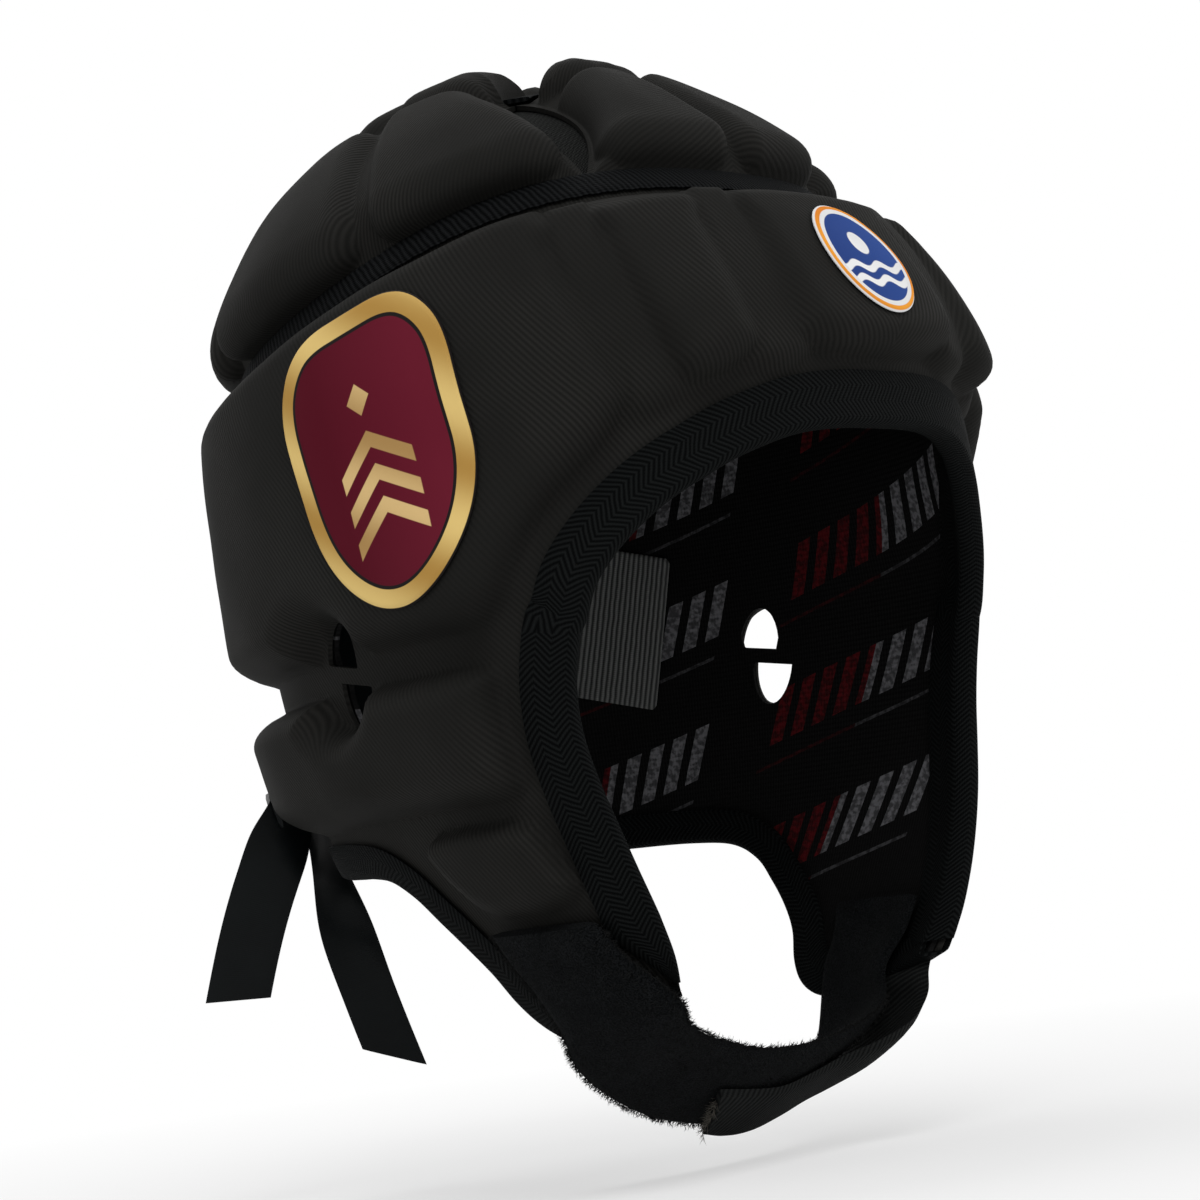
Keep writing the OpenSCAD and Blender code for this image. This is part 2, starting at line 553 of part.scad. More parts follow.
// Height of the crown blocks; near the cross tape they stay clear of it
function tape_clear(share, width, from_seam) =
    share > vent_end - 0.04 ? from_seam * width - cross_tape_width / 2 - cross_tape_margin : crown_arc;
function block_rise(block, across, share, width, from_seam, first_rim, last_rim) =
    let (side = min((across - block[0][0]) * pad_rim / first_rim, (block[0][1] - across) * pad_rim / last_rim) * width,
        along = min(share - block[1][0], block[1][1] - share) * crown_arc,
        x = min(max(min(side, along, tape_clear(share, width, from_seam)) / pad_rim, 0), 1))
    crown_pad_height * sqrt(1 - (1 - x) * (1 - x));
// Height of the cover between the blocks
function bridge_rise(share, width, from_seam) =
    let (from_edge = min((share - crown_bridge_start) * crown_arc, from_seam * width - crown_bridge_margin,
            tape_clear(share, width, from_seam)),
        x = min(max(from_edge / crown_bridge_rim, 0), 1))
    crown_bridge_height * (1 - (1 - x) * (1 - x));
function front_width(share) = front_edge_angle(share) * crown_radius(20, share) * PI / 180;
function rear_width(share) = (180 - rear_edge_angle(share)) * crown_radius(120, share) * PI / 180;
function front_block_rise(block, across, share) =
    block_rise(block, abs(across), share, front_width(share), 1 - abs(across), pad_rim,
        block[0][1] > 0.79 ? front_seam_rim : pad_rim);
function rear_block_rise(block, across, share) =
    let (a = across > 1 ? 2 - across : across)
    block_rise(block, a, share, rear_width(share), a, block[0][0] < 0.1 ? rear_seam_rim : pad_rim, pad_rim);
function front_rise(across, share) = max(concat([bridge_rise(share, front_width(share), 1 - abs(across))],
    [for (b = front_blocks) front_block_rise(b, across, share)]));
function rear_rise(across, share) =
    max(concat([bridge_rise(share, rear_width(share), across > 1 ? 2 - across : across)],
        [for (b = rear_blocks) rear_block_rise(b, across, share)]));
front_line = concat([for (i = [len(front_columns) - 1:-1:1]) -front_columns[i]], front_columns);
rear_line = concat(rear_columns, [for (i = [len(rear_columns) - 2:-1:0]) 2 - rear_columns[i]]);

module crown_front_cover() {
    rises = [for (t = crown_rows) [for (u = front_line) front_rise(u, t)]];
    rows = [0:len(crown_rows) - 1];
    cols = [0:len(front_line) - 1];
    color([0.13, 0.13, 0.12])
        skin([for (i = rows) [for (j = cols) place_point(front_place(front_line[j], crown_rows[i]), rises[i][j])]],
            [for (i = rows) [for (j = cols)
                place_point(front_place(front_line[j], crown_rows[i]), rises[i][j] - cover_thickness)]],
            function (i, j) true, function (j) front_line[j] < 0);
}

module crown_rear_cover() {
    rises = [for (t = crown_rows) [for (v = rear_line) rear_rise(v, t)]];
    rows = [0:len(crown_rows) - 1];
    cols = [0:len(rear_line) - 1];
    color([0.13, 0.13, 0.12])
        skin([for (i = rows) [for (j = cols) place_point(rear_place(rear_line[j], crown_rows[i]), rises[i][j])]],
            [for (i = rows) [for (j = cols)
                place_point(rear_place(rear_line[j], crown_rows[i]), rises[i][j] - cover_thickness)]],
            function (i, j) true, function (j) rear_line[j] >= 1);
}

crown_liner_rows = [0, 0.12, 0.25, 0.38, 0.52, 0.66, 0.8, 0.92];
crown_liner_columns = 40;
module crown_liner() {
    back = crown_liner_front - liner_thickness;
    angles = [for (i = [0:crown_liner_columns - 1]) i * 360 / crown_liner_columns];
    color([0.08, 0.08, 0.08])
        dome([for (t = crown_liner_rows) [for (a = angles) wrapped_point(crown_place(half_turn(a), t), a, crown_liner_front)]],
            [for (t = crown_liner_rows) [for (a = angles) wrapped_point(crown_place(half_turn(a), t), a, back)]],
            [shell_point(0, crown_height, crown_liner_front), shell_point(0, crown_height, back)]);
}
function half_turn(angle) = angle > 180 ? 360 - angle : angle;
function wrapped_point(place, angle, offset) = shell_point(angle, place[1], offset);

// Foam of a crown block: the cells of the panel grid that lie well inside the block
module crown_foam(block, line, is_front) {
    rows = [0:len(crown_rows) - 1];
    cols = [0:len(line) - 1];
    rises = [for (t = crown_rows) [for (s = line) is_front ? front_block_rise(block, s, t) : rear_block_rise(block, s, t)]];
    spot = function (i, j) is_front ? front_place(line[j], crown_rows[i]) : rear_place(line[j], crown_rows[i]);
    skin([for (i = rows) [for (j = cols) place_point(spot(i, j), max(rises[i][j], foam_least) - foam_slack)]],
        [for (i = rows) [for (j = cols) place_point(spot(i, j), foam_back)]],
        function (i, j) min(rises[i][j], rises[i][j + 1], rises[i + 1][j], rises[i + 1][j + 1]) >= foam_least,
        function (j) line[j] < 0);
}
module front_foam(side) { color(foam_colour) on_side(side) crown_foam(front_blocks[0], front_columns, true); }
module rear_foam(side, number) {
    color(foam_colour) on_side(side) crown_foam(rear_blocks[number], rear_columns, false);
}
module crown_front_lower_foam_right() { front_foam(-1); }
module crown_front_lower_foam_left() { front_foam(1); }
module crown_front_upper_foam() { color(foam_colour) crown_foam(front_blocks[1], front_line, true); }
module crown_side_foam_right() { rear_foam(-1, 0); }
module crown_side_foam_left() { rear_foam(1, 0); }
module crown_rear_side_foam_right() { rear_foam(-1, 1); }
module crown_rear_side_foam_left() { rear_foam(1, 1); }
module crown_back_foam_right() { rear_foam(-1, 2); }
module crown_back_foam_left() { rear_foam(1, 2); }
module crown_upper_side_foam_right() { rear_foam(-1, 3); }
module crown_upper_side_foam_left() { rear_foam(1, 3); }
module crown_upper_back_foam_right() { rear_foam(-1, 4); }
module crown_upper_back_foam_left() { rear_foam(1, 4); }

mesh_rows = [0.01, 0.08, 0.16, 0.25, 0.34, 0.43, 0.52, 0.61, 0.7, 0.78];
mesh_columns = [-1, -0.5, 0, 0.5, 1];
module vent_mesh(side) {
    spot = function (t, k) crown_place(cross_angle(t) + k * as_angle(vent_half(t) + vent_mesh_lap, t), t);
    front = -cover_thickness - sewn_clearance;
    color([0.05, 0.05, 0.05]) on_side(side)
        skin([for (t = mesh_rows) [for (k = mesh_columns) place_point(spot(t, k), front)]],
            [for (t = mesh_rows) [for (k = mesh_columns) place_point(spot(t, k), front - vent_mesh_thickness)]],
            function (i, j) true);
}
module crown_vent_mesh_right() { vent_mesh(-1); }
module crown_vent_mesh_left() { vent_mesh(1); }

// Tape over the cross seam, from one vent over the apex to the other
cross_tape_shares = [0.73, 0.77, 0.82, 0.87, 0.92, 0.96];
module crown_cross_tape() {
    low = cross_tape_lift;
    half = [for (t = cross_tape_shares) crown_place(cross_angle(t), t)];
    line = concat([for (p = half) p], [[90, crown_height]], [for (i = [len(half) - 1:-1:0]) [-half[i][0], half[i][1]]]);
    points = [for (p = line) place_point(p, 0)];
    n = len(points);
    rings = [for (i = [0:n - 1])
        let (along = unit(points[min(i + 1, n - 1)] - points[max(i - 1, 0)]),
            out = unit(cross(along, cross([0, 0, 1], along))), across = cross(out, along) * cross_tape_width / 2)
        [points[i] - across + out * low, points[i] + across + out * low,
            points[i] + across + out * (low + tape_thickness), points[i] - across + out * (low + tape_thickness)]];
    color([0.06, 0.06, 0.06]) sweep(rings);
}

// Tape round the seam between crown and band
module crown_seam_tape() {
    low = sewn_clearance;
    high = low + tape_thickness;
    half = seam_tape_width / 2;
    rings = [for (a = [0:5:355])
        let (h = half_turn(a), under = seam_level(h) - half, over = crown_place(h, half / crown_arc)[1])
        [shell_point(a, under, low), shell_point(a, over, low), shell_point(a, over, high), shell_point(a, under, high)]];
    color([0.06, 0.06, 0.06]) sweep(rings, closed = true);
}

// Bindings: a folded tape over the free edge; inward is +1 where the fabric lies left of the way along
function local_arc(place) = shell_radius(place[0], place[1], 0) * PI / 180;
binding_fold = binding_thickness + sewn_clearance;
binding_round = 1.6;
function binding_profile(width) = [[width, binding_front], [width / 2, binding_front], [0.4, binding_front],
    [-binding_fold, binding_front - binding_round], [-binding_fold, binding_back + binding_round],
    [0.4, binding_back], [width, binding_back], [width, binding_back + binding_thickness],
    [-sewn_clearance, binding_back + binding_thickness], [-sewn_clearance, binding_clearance],
    [width / 2, binding_clearance], [width, binding_clearance]];
binding_cap = [[10, 1, 0], [11, 10, 0], [9, 2, 1], [10, 9, 1], [9, 3, 2], [8, 4, 3], [9, 8, 3], [8, 5, 4],
    [7, 6, 5], [8, 7, 5]];
module binding(path, width, inward) {
    n = len(path);
    rings = [for (i = [0:n - 1])
        let (p = path[i], k = local_arc(p), a = path[max(i - 1, 0)], b = path[min(i + 1, n - 1)],
            way = unit([(b[0] - a[0]) * k, b[1] - a[1]]), side = [-way[1], way[0]] * inward)
        [for (q = binding_profile(width)) shell_point(p[0] + side[0] * q[0] / k, p[1] + side[1] * q[0], q[1])]];
    sweep(rings, cap = binding_cap);
}
face_binding_end = -72.6;
module face_binding() {
    side = concat([[lookup(face_binding_end, face_edge), face_binding_end]],
        [for (i = [grid_rows - 2:-1:upper_rows]) let (p = band_place(i, corner_index))
            if (p[1] > face_binding_end + binding_thickness) p],
        [for (c = [corner_index:-1:1]) band_place(upper_rows - 1, c)]);
    path = concat(side, [band_place(upper_rows - 1, 0)], [for (i = [len(side) - 1:-1:0]) [-side[i][0], side[i][1]]]);
    color([0.06, 0.06, 0.07]) binding(path, face_binding_width, -1);
}
module jaw_binding(side) {
    path = [for (c = [corner_index:half_columns - 1]) band_place(grid_rows - 1, c)];
    color([0.06, 0.06, 0.07]) on_side(side) binding(path, jaw_binding_width, 1);
}
module jaw_binding_right() { jaw_binding(-1); }
module jaw_binding_left() { jaw_binding(1); }

// Chin straps: rings across a strap from its front edge, rear edge and outward direction
function strap_out(front, rear, i) =
    let (n = len(front), along = front[min(i + 1, n - 1)] + rear[min(i + 1, n - 1)] - front[max(i - 1, 0)] - rear[max(i - 1, 0)])
    unit(cross(rear[i] - front[i], along));
function strap_ring(front, middle, rear, out, low, high) =
    [front + out * low, middle + out * low, rear + out * low, rear + out * high, middle + out * high, front + out * high];
strap_cap = [[4, 1, 0], [5, 4, 0], [3, 2, 1], [4, 3, 1]];
function halfway(a, b) = (a + b) / 2;
loop_fronts = concat([for (i = [0:3]) place_point(loop_root_front[i], loop_root_offsets[i])], loop_front,
    [for (i = [0:2]) place_point(loop_end_front[i], loop_end_offset - loop_end_dips[i])]);
loop_rears = concat([for (i = [0:3]) place_point(loop_root_rear[i], loop_root_offsets[i])], loop_rear,
    [for (i = [0:2]) place_point(loop_end_rear[i], loop_end_offset - loop_end_dips[i])]);
loop_outs = [for (i = [0:len(loop_fronts) - 1]) strap_out(loop_fronts, loop_rears, i)];
loop_middles = concat(
    [for (i = [0:3]) place_point(halfway(loop_root_front[i], loop_root_rear[i]), loop_root_offsets[i])],
    [for (i = [0:len(loop_front) - 1]) halfway(loop_front[i], loop_rear[i]) + loop_outs[i + 4] * strap_bulge],
    [for (i = [0:2]) place_point(halfway(loop_end_front[i], loop_end_rear[i]), loop_end_offset - loop_end_dips[i])]);
module chin_loop_strap() {
    color([0.1, 0.1, 0.11]) sweep([for (i = [0:len(loop_fronts) - 1]) strap_ring(loop_fronts[i], loop_middles[i],
        loop_rears[i], loop_outs[i], 0, loop_strap_thickness)], cap = strap_cap);
}
hook_level = loop_strap_thickness + strap_clearance;
module chin_hook_strap() {
    last = 4 + hook_last;
    under = [for (i = [4 + hook_first:last]) strap_ring(loop_fronts[i], loop_middles[i], loop_rears[i], loop_outs[i],
        hook_level, hook_level + hook_strap_thickness)];
    fronts = concat([loop_fronts[last] + loop_outs[last] * hook_level], [hook_front[1], hook_front[0]],
        [place_point(hook_root_front, hook_root_offset)]);
    rears = concat([loop_rears[last] + loop_outs[last] * hook_level], [hook_rear[1], hook_rear[0]],
        [place_point(hook_root_rear, hook_root_offset)]);
    outs = [for (i = [0:3]) strap_out(fronts, rears, i)];
    middles = [for (i = [0:3]) halfway(fronts[i], rears[i]) + outs[i] * (i < 3 ? hook_bulges[i] : 0)];
    lows = [0, 0, 0, -hook_strap_thickness];
    side = [for (i = [1:3])
        strap_ring(fronts[i], middles[i], rears[i], outs[i], lows[i], lows[i] + hook_strap_thickness)];
    color([0.1, 0.1, 0.11]) sweep(concat(under, side), cap = strap_cap);
}
module chin_hook_tape() {
    low = loop_strap_thickness + (strap_clearance - hook_tape_thickness) / 2;
    color([0.2, 0.2, 0.2]) sweep([for (i = [4 + hook_first:4 + hook_first + 1])
        strap_ring(mix(loop_middles[i], loop_fronts[i], hook_tape_share), loop_middles[i],
            mix(loop_middles[i], loop_rears[i], hook_tape_share), loop_outs[i], low, low + hook_tape_thickness)],
        cap = strap_cap);
}

// Badges and label
module side_badge() {
    w = side_badge_width / 2;
    h = side_badge_height / 2;
    outline = [[w * 0.5, h], [w * 0.8, h * 0.87], [w, h * 0.62], [w, h * 0.2], [w * 0.97, -h * 0.25],
        [w * 0.78, -h * 0.62], [w * 0.42, -h * 0.9], [0, -h]];
    whole = concat(outline, [for (i = [6:-1:0]) [-outline[i][0], outline[i][1]]], [[0, h]]);
    low = band_pad_height + badge_clearance;
    color([0.35, 0.08, 0.12]) patch([-side_badge_place[0], side_badge_place[1]], whole, side_badge_turn, low,
        low + badge_thickness);
}
module front_badge() {
    r = front_badge_diameter / 2;
    low = band_pad_height + badge_clearance;
    color([0.15, 0.3, 0.6]) patch(front_badge_place, [for (a = [0:18:342]) [r * cos(a), r * sin(a)]], 0, low,
        low + badge_thickness);
}
module inner_label() {
    w = label_width / 2;
    h = label_height / 2;
    high = liner_back - label_clearance;
    color([0.3, 0.3, 0.3]) patch(label_place, [[w, h], [0, h], [-w, h], [-w, h / 3], [-w, -h / 3], [-w, -h], [0, -h],
        [w, -h], [w, -h / 3], [w, h / 3]], label_turn, high - label_thickness, high);
}

// Gusset and lacing at the rear
module rear_gusset() {
    angles = [for (i = [0:6]) mix(gusset_edge, 360 - gusset_edge, i / 6)];
    color([0.05, 0.05, 0.05])
        skin([for (z = gusset_levels) [for (a = angles) shell_point(a, z, liner_front)]],
            [for (z = gusset_levels) [for (a = angles) shell_point(a, z, liner_back)]], function (i, j) true);
}
module lace_eyelets() {
    color([0.15, 0.15, 0.16]) at_eyelets() rotate_extrude($fn = 24)
        translate([eyelet_bore / 2, 0]) polygon([[0, -cover_thickness], [0.5, -cover_thickness], [0.5, sewn_clearance],
            [(eyelet_diameter - eyelet_bore) / 2, sewn_clearance], [(eyelet_diameter - eyelet_bore) / 2, sewn_clearance + 0.7],
            [0, sewn_clearance + 0.7]]);
}

function tube_rings(points, outs, radius, sides) =
    let (n = len(points)) [for (i = [0:n - 1])
        let (along = unit(points[min(i + 1, n - 1)] - points[max(i - 1, 0)]), side = unit(cross(along, outs[i])),
            up = cross(side, along))
        [for (k = [0:sides - 1]) points[i] + radius * (side * cos(360 * k / sides) + up * sin(360 * k / sides))]];
function eyelet_level(row) = eyelet_top - row * eyelet_step;
function lace_bar(from, to, level) =
    let (way = sign(to - from)) [[from, level, lace_exit], [from + way * 2.5, level, lace_height],
        [from + way * 9.5, level, lace_height], [to - way * 2.5, level, lace_height], [to, level, lace_exit]];
function lace_drop(angle, row) = [[angle, eyelet_level(row) - 3.4, lace_height],
    [angle, eyelet_level(row + 1) + 3.4, lace_height]];
module rear_lace() {
    left = eyelet_angle;
    right = 360 - eyelet_angle;
    path = concat(lace_bar(left, right, eyelet_level(0)), lace_drop(right, 0), lace_bar(right, left, eyelet_level(1)),
        lace_drop(left, 1), lace_bar(left, right, eyelet_level(2)), [[192, -21.5, 5], [194.5, -23.5, 9.5],
            [198, -25.5, band_pad_height + 1.5], [201, -26, band_pad_height + 1.5]]);
    color([0.05, 0.05, 0.05]) sweep(tube_rings([for (p = path) shell_point(p[0], p[1], p[2])],
        [for (p = path) [sin(p[0]), -cos(p[0]), 0]], lace_diameter / 2, 6));
}
module lace_keeper() {
    n = len(keeper_angles) - 1;
    low = [for (i = [0:n]) band_pad_height + (i == 0 || i == n ? 0.5 : 2.9)];
    rings = [for (i = [0:n]) let (a = keeper_angles[i], bottom = keeper_levels[0], top = keeper_levels[1])
        [shell_point(a, bottom, low[i]), shell_point(a, top, low[i]), shell_point(a, top, low[i] + ribbon_thickness),
            shell_point(a, bottom, low[i] + ribbon_thickness)]];
    color([0.05, 0.05, 0.05]) sweep(rings);
}
module lace_tail(angle, drift, turned_across) {
    root = shell_point(angle, tail_level, band_pad_height + 1.2);
    start_across = [cos(angle), sin(angle), 0];
    bow = [sin(angle), -cos(angle), 0] * ribbon_thickness * 1.5;
    rings = [for (t = [0, 0.1, 0.2, 0.3, 0.4, 0.55, 0.75, 1])
        let (p = root + drift * t + bow * sin(180 * t), share = ease(t / tail_turn_share),
            across = unit(mix(start_across, turned_across, share)) * ribbon_width / 2,
            out = unit(cross(mix([0, 0, -1], unit(drift), share), across)) * ribbon_thickness)
        [p - across, p + across, p + across + out, p - across + out]];
    color([0.05, 0.05, 0.05]) sweep(rings);
}
module lace_tail_long() { lace_tail(long_tail_angle, long_tail_drift, long_tail_across); }
module lace_tail_short() { lace_tail(short_tail_angle, short_tail_drift, short_tail_across); }

crown_front_cover();
crown_rear_cover();
crown_liner();
crown_vent_mesh_right();
crown_vent_mesh_left();
crown_cross_tape();
crown_seam_tape();
band_cover();
band_liner();
forehead_foam();
brow_foam_right();
brow_foam_left();
temple_foam_right();
temple_foam_left();
side_foam_right();
side_foam_left();
cheek_foam_right();
cheek_foam_left();
crown_front_lower_foam_right();
crown_front_lower_foam_left();
crown_front_upper_foam();
crown_side_foam_right();
crown_side_foam_left();
crown_rear_side_foam_right();
crown_rear_side_foam_left();
crown_back_foam_right();
crown_back_foam_left();
crown_upper_side_foam_right();
crown_upper_side_foam_left();
crown_upper_back_foam_right();
crown_upper_back_foam_left();
face_binding();
jaw_binding_right();
jaw_binding_left();
chin_loop_strap();
chin_hook_strap();
chin_hook_tape();
side_badge();
front_badge();
inner_label();
rear_gusset();
lace_eyelets();
rear_lace();
lace_keeper();
lace_tail_long();
lace_tail_short();
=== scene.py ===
"""Looks of a soft padded sport headgear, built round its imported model. Lengths in millimetres until shown.

The wearer faces -Y, the wearer's right side is -X. A place on the shell is an angle in degrees round the
upright axis, 0 at the forehead, and a level in millimetres of height on the bare shell under the pads.
"""
import math

import bpy
import numpy as np
from mathutils import Matrix, Vector


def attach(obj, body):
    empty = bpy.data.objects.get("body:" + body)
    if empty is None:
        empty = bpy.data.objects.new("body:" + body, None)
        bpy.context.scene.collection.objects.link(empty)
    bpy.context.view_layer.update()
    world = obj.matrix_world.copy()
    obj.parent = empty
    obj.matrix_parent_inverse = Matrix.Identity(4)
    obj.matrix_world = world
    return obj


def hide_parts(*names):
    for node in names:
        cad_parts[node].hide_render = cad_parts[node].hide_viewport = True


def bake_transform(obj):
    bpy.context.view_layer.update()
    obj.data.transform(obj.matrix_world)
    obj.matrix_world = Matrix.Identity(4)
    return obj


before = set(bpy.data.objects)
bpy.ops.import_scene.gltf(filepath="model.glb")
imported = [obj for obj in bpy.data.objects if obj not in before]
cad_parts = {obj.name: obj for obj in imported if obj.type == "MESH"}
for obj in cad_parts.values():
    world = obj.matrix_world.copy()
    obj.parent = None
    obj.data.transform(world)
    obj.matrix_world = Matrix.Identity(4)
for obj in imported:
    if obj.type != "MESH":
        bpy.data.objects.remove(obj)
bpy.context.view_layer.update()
random = np.random.default_rng(7)
MM = 0.001

# Camera: where the photograph was taken from
azimuth, elevation, roll = math.radians(-48.2), math.radians(-5.2), math.radians(7.3)
camera_distance = 0.796
target_right, target_height = 0.0069, 0.0158
level_back = Vector((math.sin(azimuth), -math.cos(azimuth), 0))
back = level_back * math.cos(elevation) + Vector((0, 0, math.sin(elevation)))
right = Vector((math.cos(azimuth), math.sin(azimuth), 0))
up = back.cross(right)
target = right * target_right + Vector((0, 0, target_height))
eye = target + back * camera_distance
tilted_right = right * math.cos(roll) - up * math.sin(roll)
tilted_up = right * math.sin(roll) + up * math.cos(roll)
camera_data = bpy.data.cameras.new("camera")
camera_data.lens = 96
camera_data.sensor_width = 36
camera = bpy.data.objects.new("camera", camera_data)
bpy.context.scene.collection.objects.link(camera)
turn = Matrix((tilted_right, tilted_up, back)).transposed().to_4x4()
camera.matrix_world = Matrix.Translation(eye) @ turn
bpy.context.scene.camera = camera


# Numbers
def ease(t):
    c = np.clip(t, 0, 1)
    return c * c * (3 - 2 * c)


def mix(a, b, t):
    return a + (b - a) * t


def unit(v):
    return v / np.maximum(np.linalg.norm(v, axis=-1, keepdims=True), 1e-12)


def smooth(xs, ys, x):
    """A smooth curve through the points (xs, ys), at x; ys may hold points."""
    xs, ys = np.asarray(xs, float), np.asarray(ys, float)
    slope = np.gradient(ys, xs, axis=0)
    x = np.asarray(x, float)
    i = np.clip(np.searchsorted(xs, x) - 1, 0, len(xs) - 2)
    h = xs[i + 1] - xs[i]
    t = (x - xs[i]) / h
    if ys.ndim > 1:
        extra = (1,) * (ys.ndim - 1)
        h, t = h.reshape(h.shape + extra), t.reshape(t.shape + extra)
    return ((1 + 2 * t) * (1 - t) ** 2 * ys[i] + t * (1 - t) ** 2 * h * slope[i]
            + t * t * (3 - 2 * t) * ys[i + 1] + t * t * (t - 1) * h * slope[i + 1])


def soft_noise(u, v, scale, seed):
    """Smooth noise from -1 to 1 made of a few waves, for slack in the fabric."""
    waves = np.random.default_rng(seed)
    total = np.zeros(np.broadcast(u, v).shape)
    for _ in range(7):
        way, phase = waves.uniform(0, 2 * math.pi, 2)
        size = waves.uniform(0.7, 1.5)
        total += np.sin((u * math.cos(way) + v * math.sin(way)) * 2 * math.pi / (scale * size) + phase)
    return total / 4


# The bare shell
shell_half_width, shell_ahead, shell_behind = 80, 90.5, 92
dome_level, crown_height, axis_y, crown_lean = 55, 138.5, -12, 5
dome_rise = crown_height - dome_level
side_arch, front_arch, rear_arch = 2, 1.45, 2.45
side_taper, rear_taper = 12.2, 10
front_roundness, rear_roundness, low_squareness = 2.3, 1.95, 0.2
jaw_swell, jaw_angle, jaw_spread = 8, 58, 24
jaw_top, jaw_fade = 48, 40
seam_middle, seam_swing, seam_wave = 90.5, 16.5, 2
arc_per_degree = 1.45


def arch(u, power):
    return np.maximum(1 - u ** power, 0) ** (1 / power)


def shell_radius(angle, level, offset=0.0):
    up_part = np.clip((level - dome_level) / dome_rise, 0, 1)
    low = np.maximum((dome_level - level) / 100, 0)
    s, c = np.abs(np.sin(np.radians(angle))), np.cos(np.radians(angle))
    side = np.maximum((shell_half_width + offset) * arch(up_part, side_arch) - side_taper * low ** 3, 1e-3)
    ahead = (shell_ahead + offset) * arch(up_part, front_arch)
    behind = (shell_behind + offset) * arch(up_part, rear_arch) - rear_taper * low ** 3
    depth = np.maximum(np.where(c > 0, ahead, behind), 1e-3)
    power = np.where(c > 0, front_roundness, rear_roundness - low_squareness * low * low)
    r = ((s / side) ** power + (np.abs(c) / depth) ** power) ** (-1 / power)
    swell = jaw_swell * np.exp(-((np.abs(angle) - jaw_angle) / jaw_spread) ** 2)
    return r + swell * ease((jaw_top - level) / jaw_fade)


def shell(angle, level, offset=0.0):
    angle, level, offset = np.broadcast_arrays(np.asarray(angle, float), level, offset)
    up_part = np.clip((level - dome_level) / dome_rise, 0, 1)
    r = shell_radius(angle, level, offset)
    rad = np.radians(angle)
    z = np.where(level > dome_level, dome_level + (dome_rise + offset) * up_part, level)
    return np.stack([r * np.sin(rad), axis_y - crown_lean * up_part ** 2 - r * np.cos(rad), z], -1) * MM


def arc_at(angle, level):
    """Millimetres round the bare shell for one degree."""
    return shell_radius(angle, level) * math.pi / 180


def seam_level(angle):
    """Level of the seam between crown and band."""
    rad = np.radians(angle)
    return seam_middle + seam_swing * np.cos(rad) - seam_wave * np.cos(3 * rad)


# Edges of the band, as in its solids: [seam angle, edge angle, edge level], then
# [seam angle, angle at ear level, angle at the lower edge, its level]
brow_columns = np.array([
    [0, 0, 42], [9, 7, 42], [17, 12.5, 41.6], [22, 16.5, 40.9], [25.5, 19.5, 40], [31, 23, 38.5],
    [39, 27.5, 36.2], [44, 30.5, 34.2], [48, 33, 32.3], [51.5, 35.5, 30.5], [57, 39.5, 27], [62, 43.5, 22.5],
    [67, 47.3, 17], [72, 50.5, 10.5]])
ear_columns = np.array([
    [77, 53.6, 44.3, -80.5], [82, 62, 53.5, -84.5], [87, 68, 61, -87], [92, 74.5, 69, -88],
    [97, 81, 75.5, -86.8], [101, 87, 81, -83.5], [105, 92.5, 85, -78.5], [109, 98, 88, -71.5],
    [113, 103.5, 92, -65], [118, 109, 97, -58], [123, 115.5, 102, -51.5], [129, 123, 109, -46.8],
    [137, 133, 119, -45], [146, 144, 133, -44.3], [155, 154, 152, -44], [163, 162, 162, -44],
    [168, 167.5, 167.5, -44], [173, 173, 173, -44]])
ear_level = 0.5
seam_gap = 0.2
corner_blend = 30
face_edge = np.array([
    [-80.5, 44.3], [-73, 45.2], [-63, 47.5], [-52, 50], [-42, 52], [-31, 54], [-20, 55.2], [-10, 55],
    [0.5, 53.6]])
corner = len(brow_columns)
last_column = corner + len(ear_columns) - 1
column_numbers = np.arange(last_column + 1)
seam_angles = np.concatenate([brow_columns[:, 0], ear_columns[:, 0]])
edge_angles = np.concatenate([brow_columns[:, 1], ear_columns[:, 1]])
edge_levels = np.concatenate([brow_columns[:, 2], np.full(len(ear_columns), ear_level)])


def upper_place(column, share):
    """Places between the crown seam and the brow edge or the ear level."""
    column = np.abs(column)
    top = smooth(column_numbers, seam_angles, column)
    end = smooth(column_numbers, edge_angles, column)
    brow_level = smooth(column_numbers[:corner + 1], edge_levels[:corner + 1], np.minimum(column, corner))
    low = np.where(column >= corner, ear_level, brow_level)
    return mix(top, end, share), mix(seam_level(top) - seam_gap, low, share)


def lower_place(column, share):
    """Places from the ear level down to the jaw and nape edge."""
    column = np.maximum(np.abs(column), corner)
    n = column_numbers[corner:]
    start = smooth(n, ear_columns[:, 1], column)
    end = smooth(n, ear_columns[:, 2], column)
    low = smooth(n, ear_columns[:, 3], column)
    level = mix(ear_level, low, share)
    first, final, final_level = ear_columns[0, 1:]
    held = np.maximum(level, final_level)
    straight = mix(first, final, (ear_level - held) / (ear_level - final_level))
    bow = smooth(face_edge[:, 0], face_edge[:, 1], held) - straight
    return mix(start, end, share) + bow * np.maximum(1 - (start - first) / corner_blend, 0), level


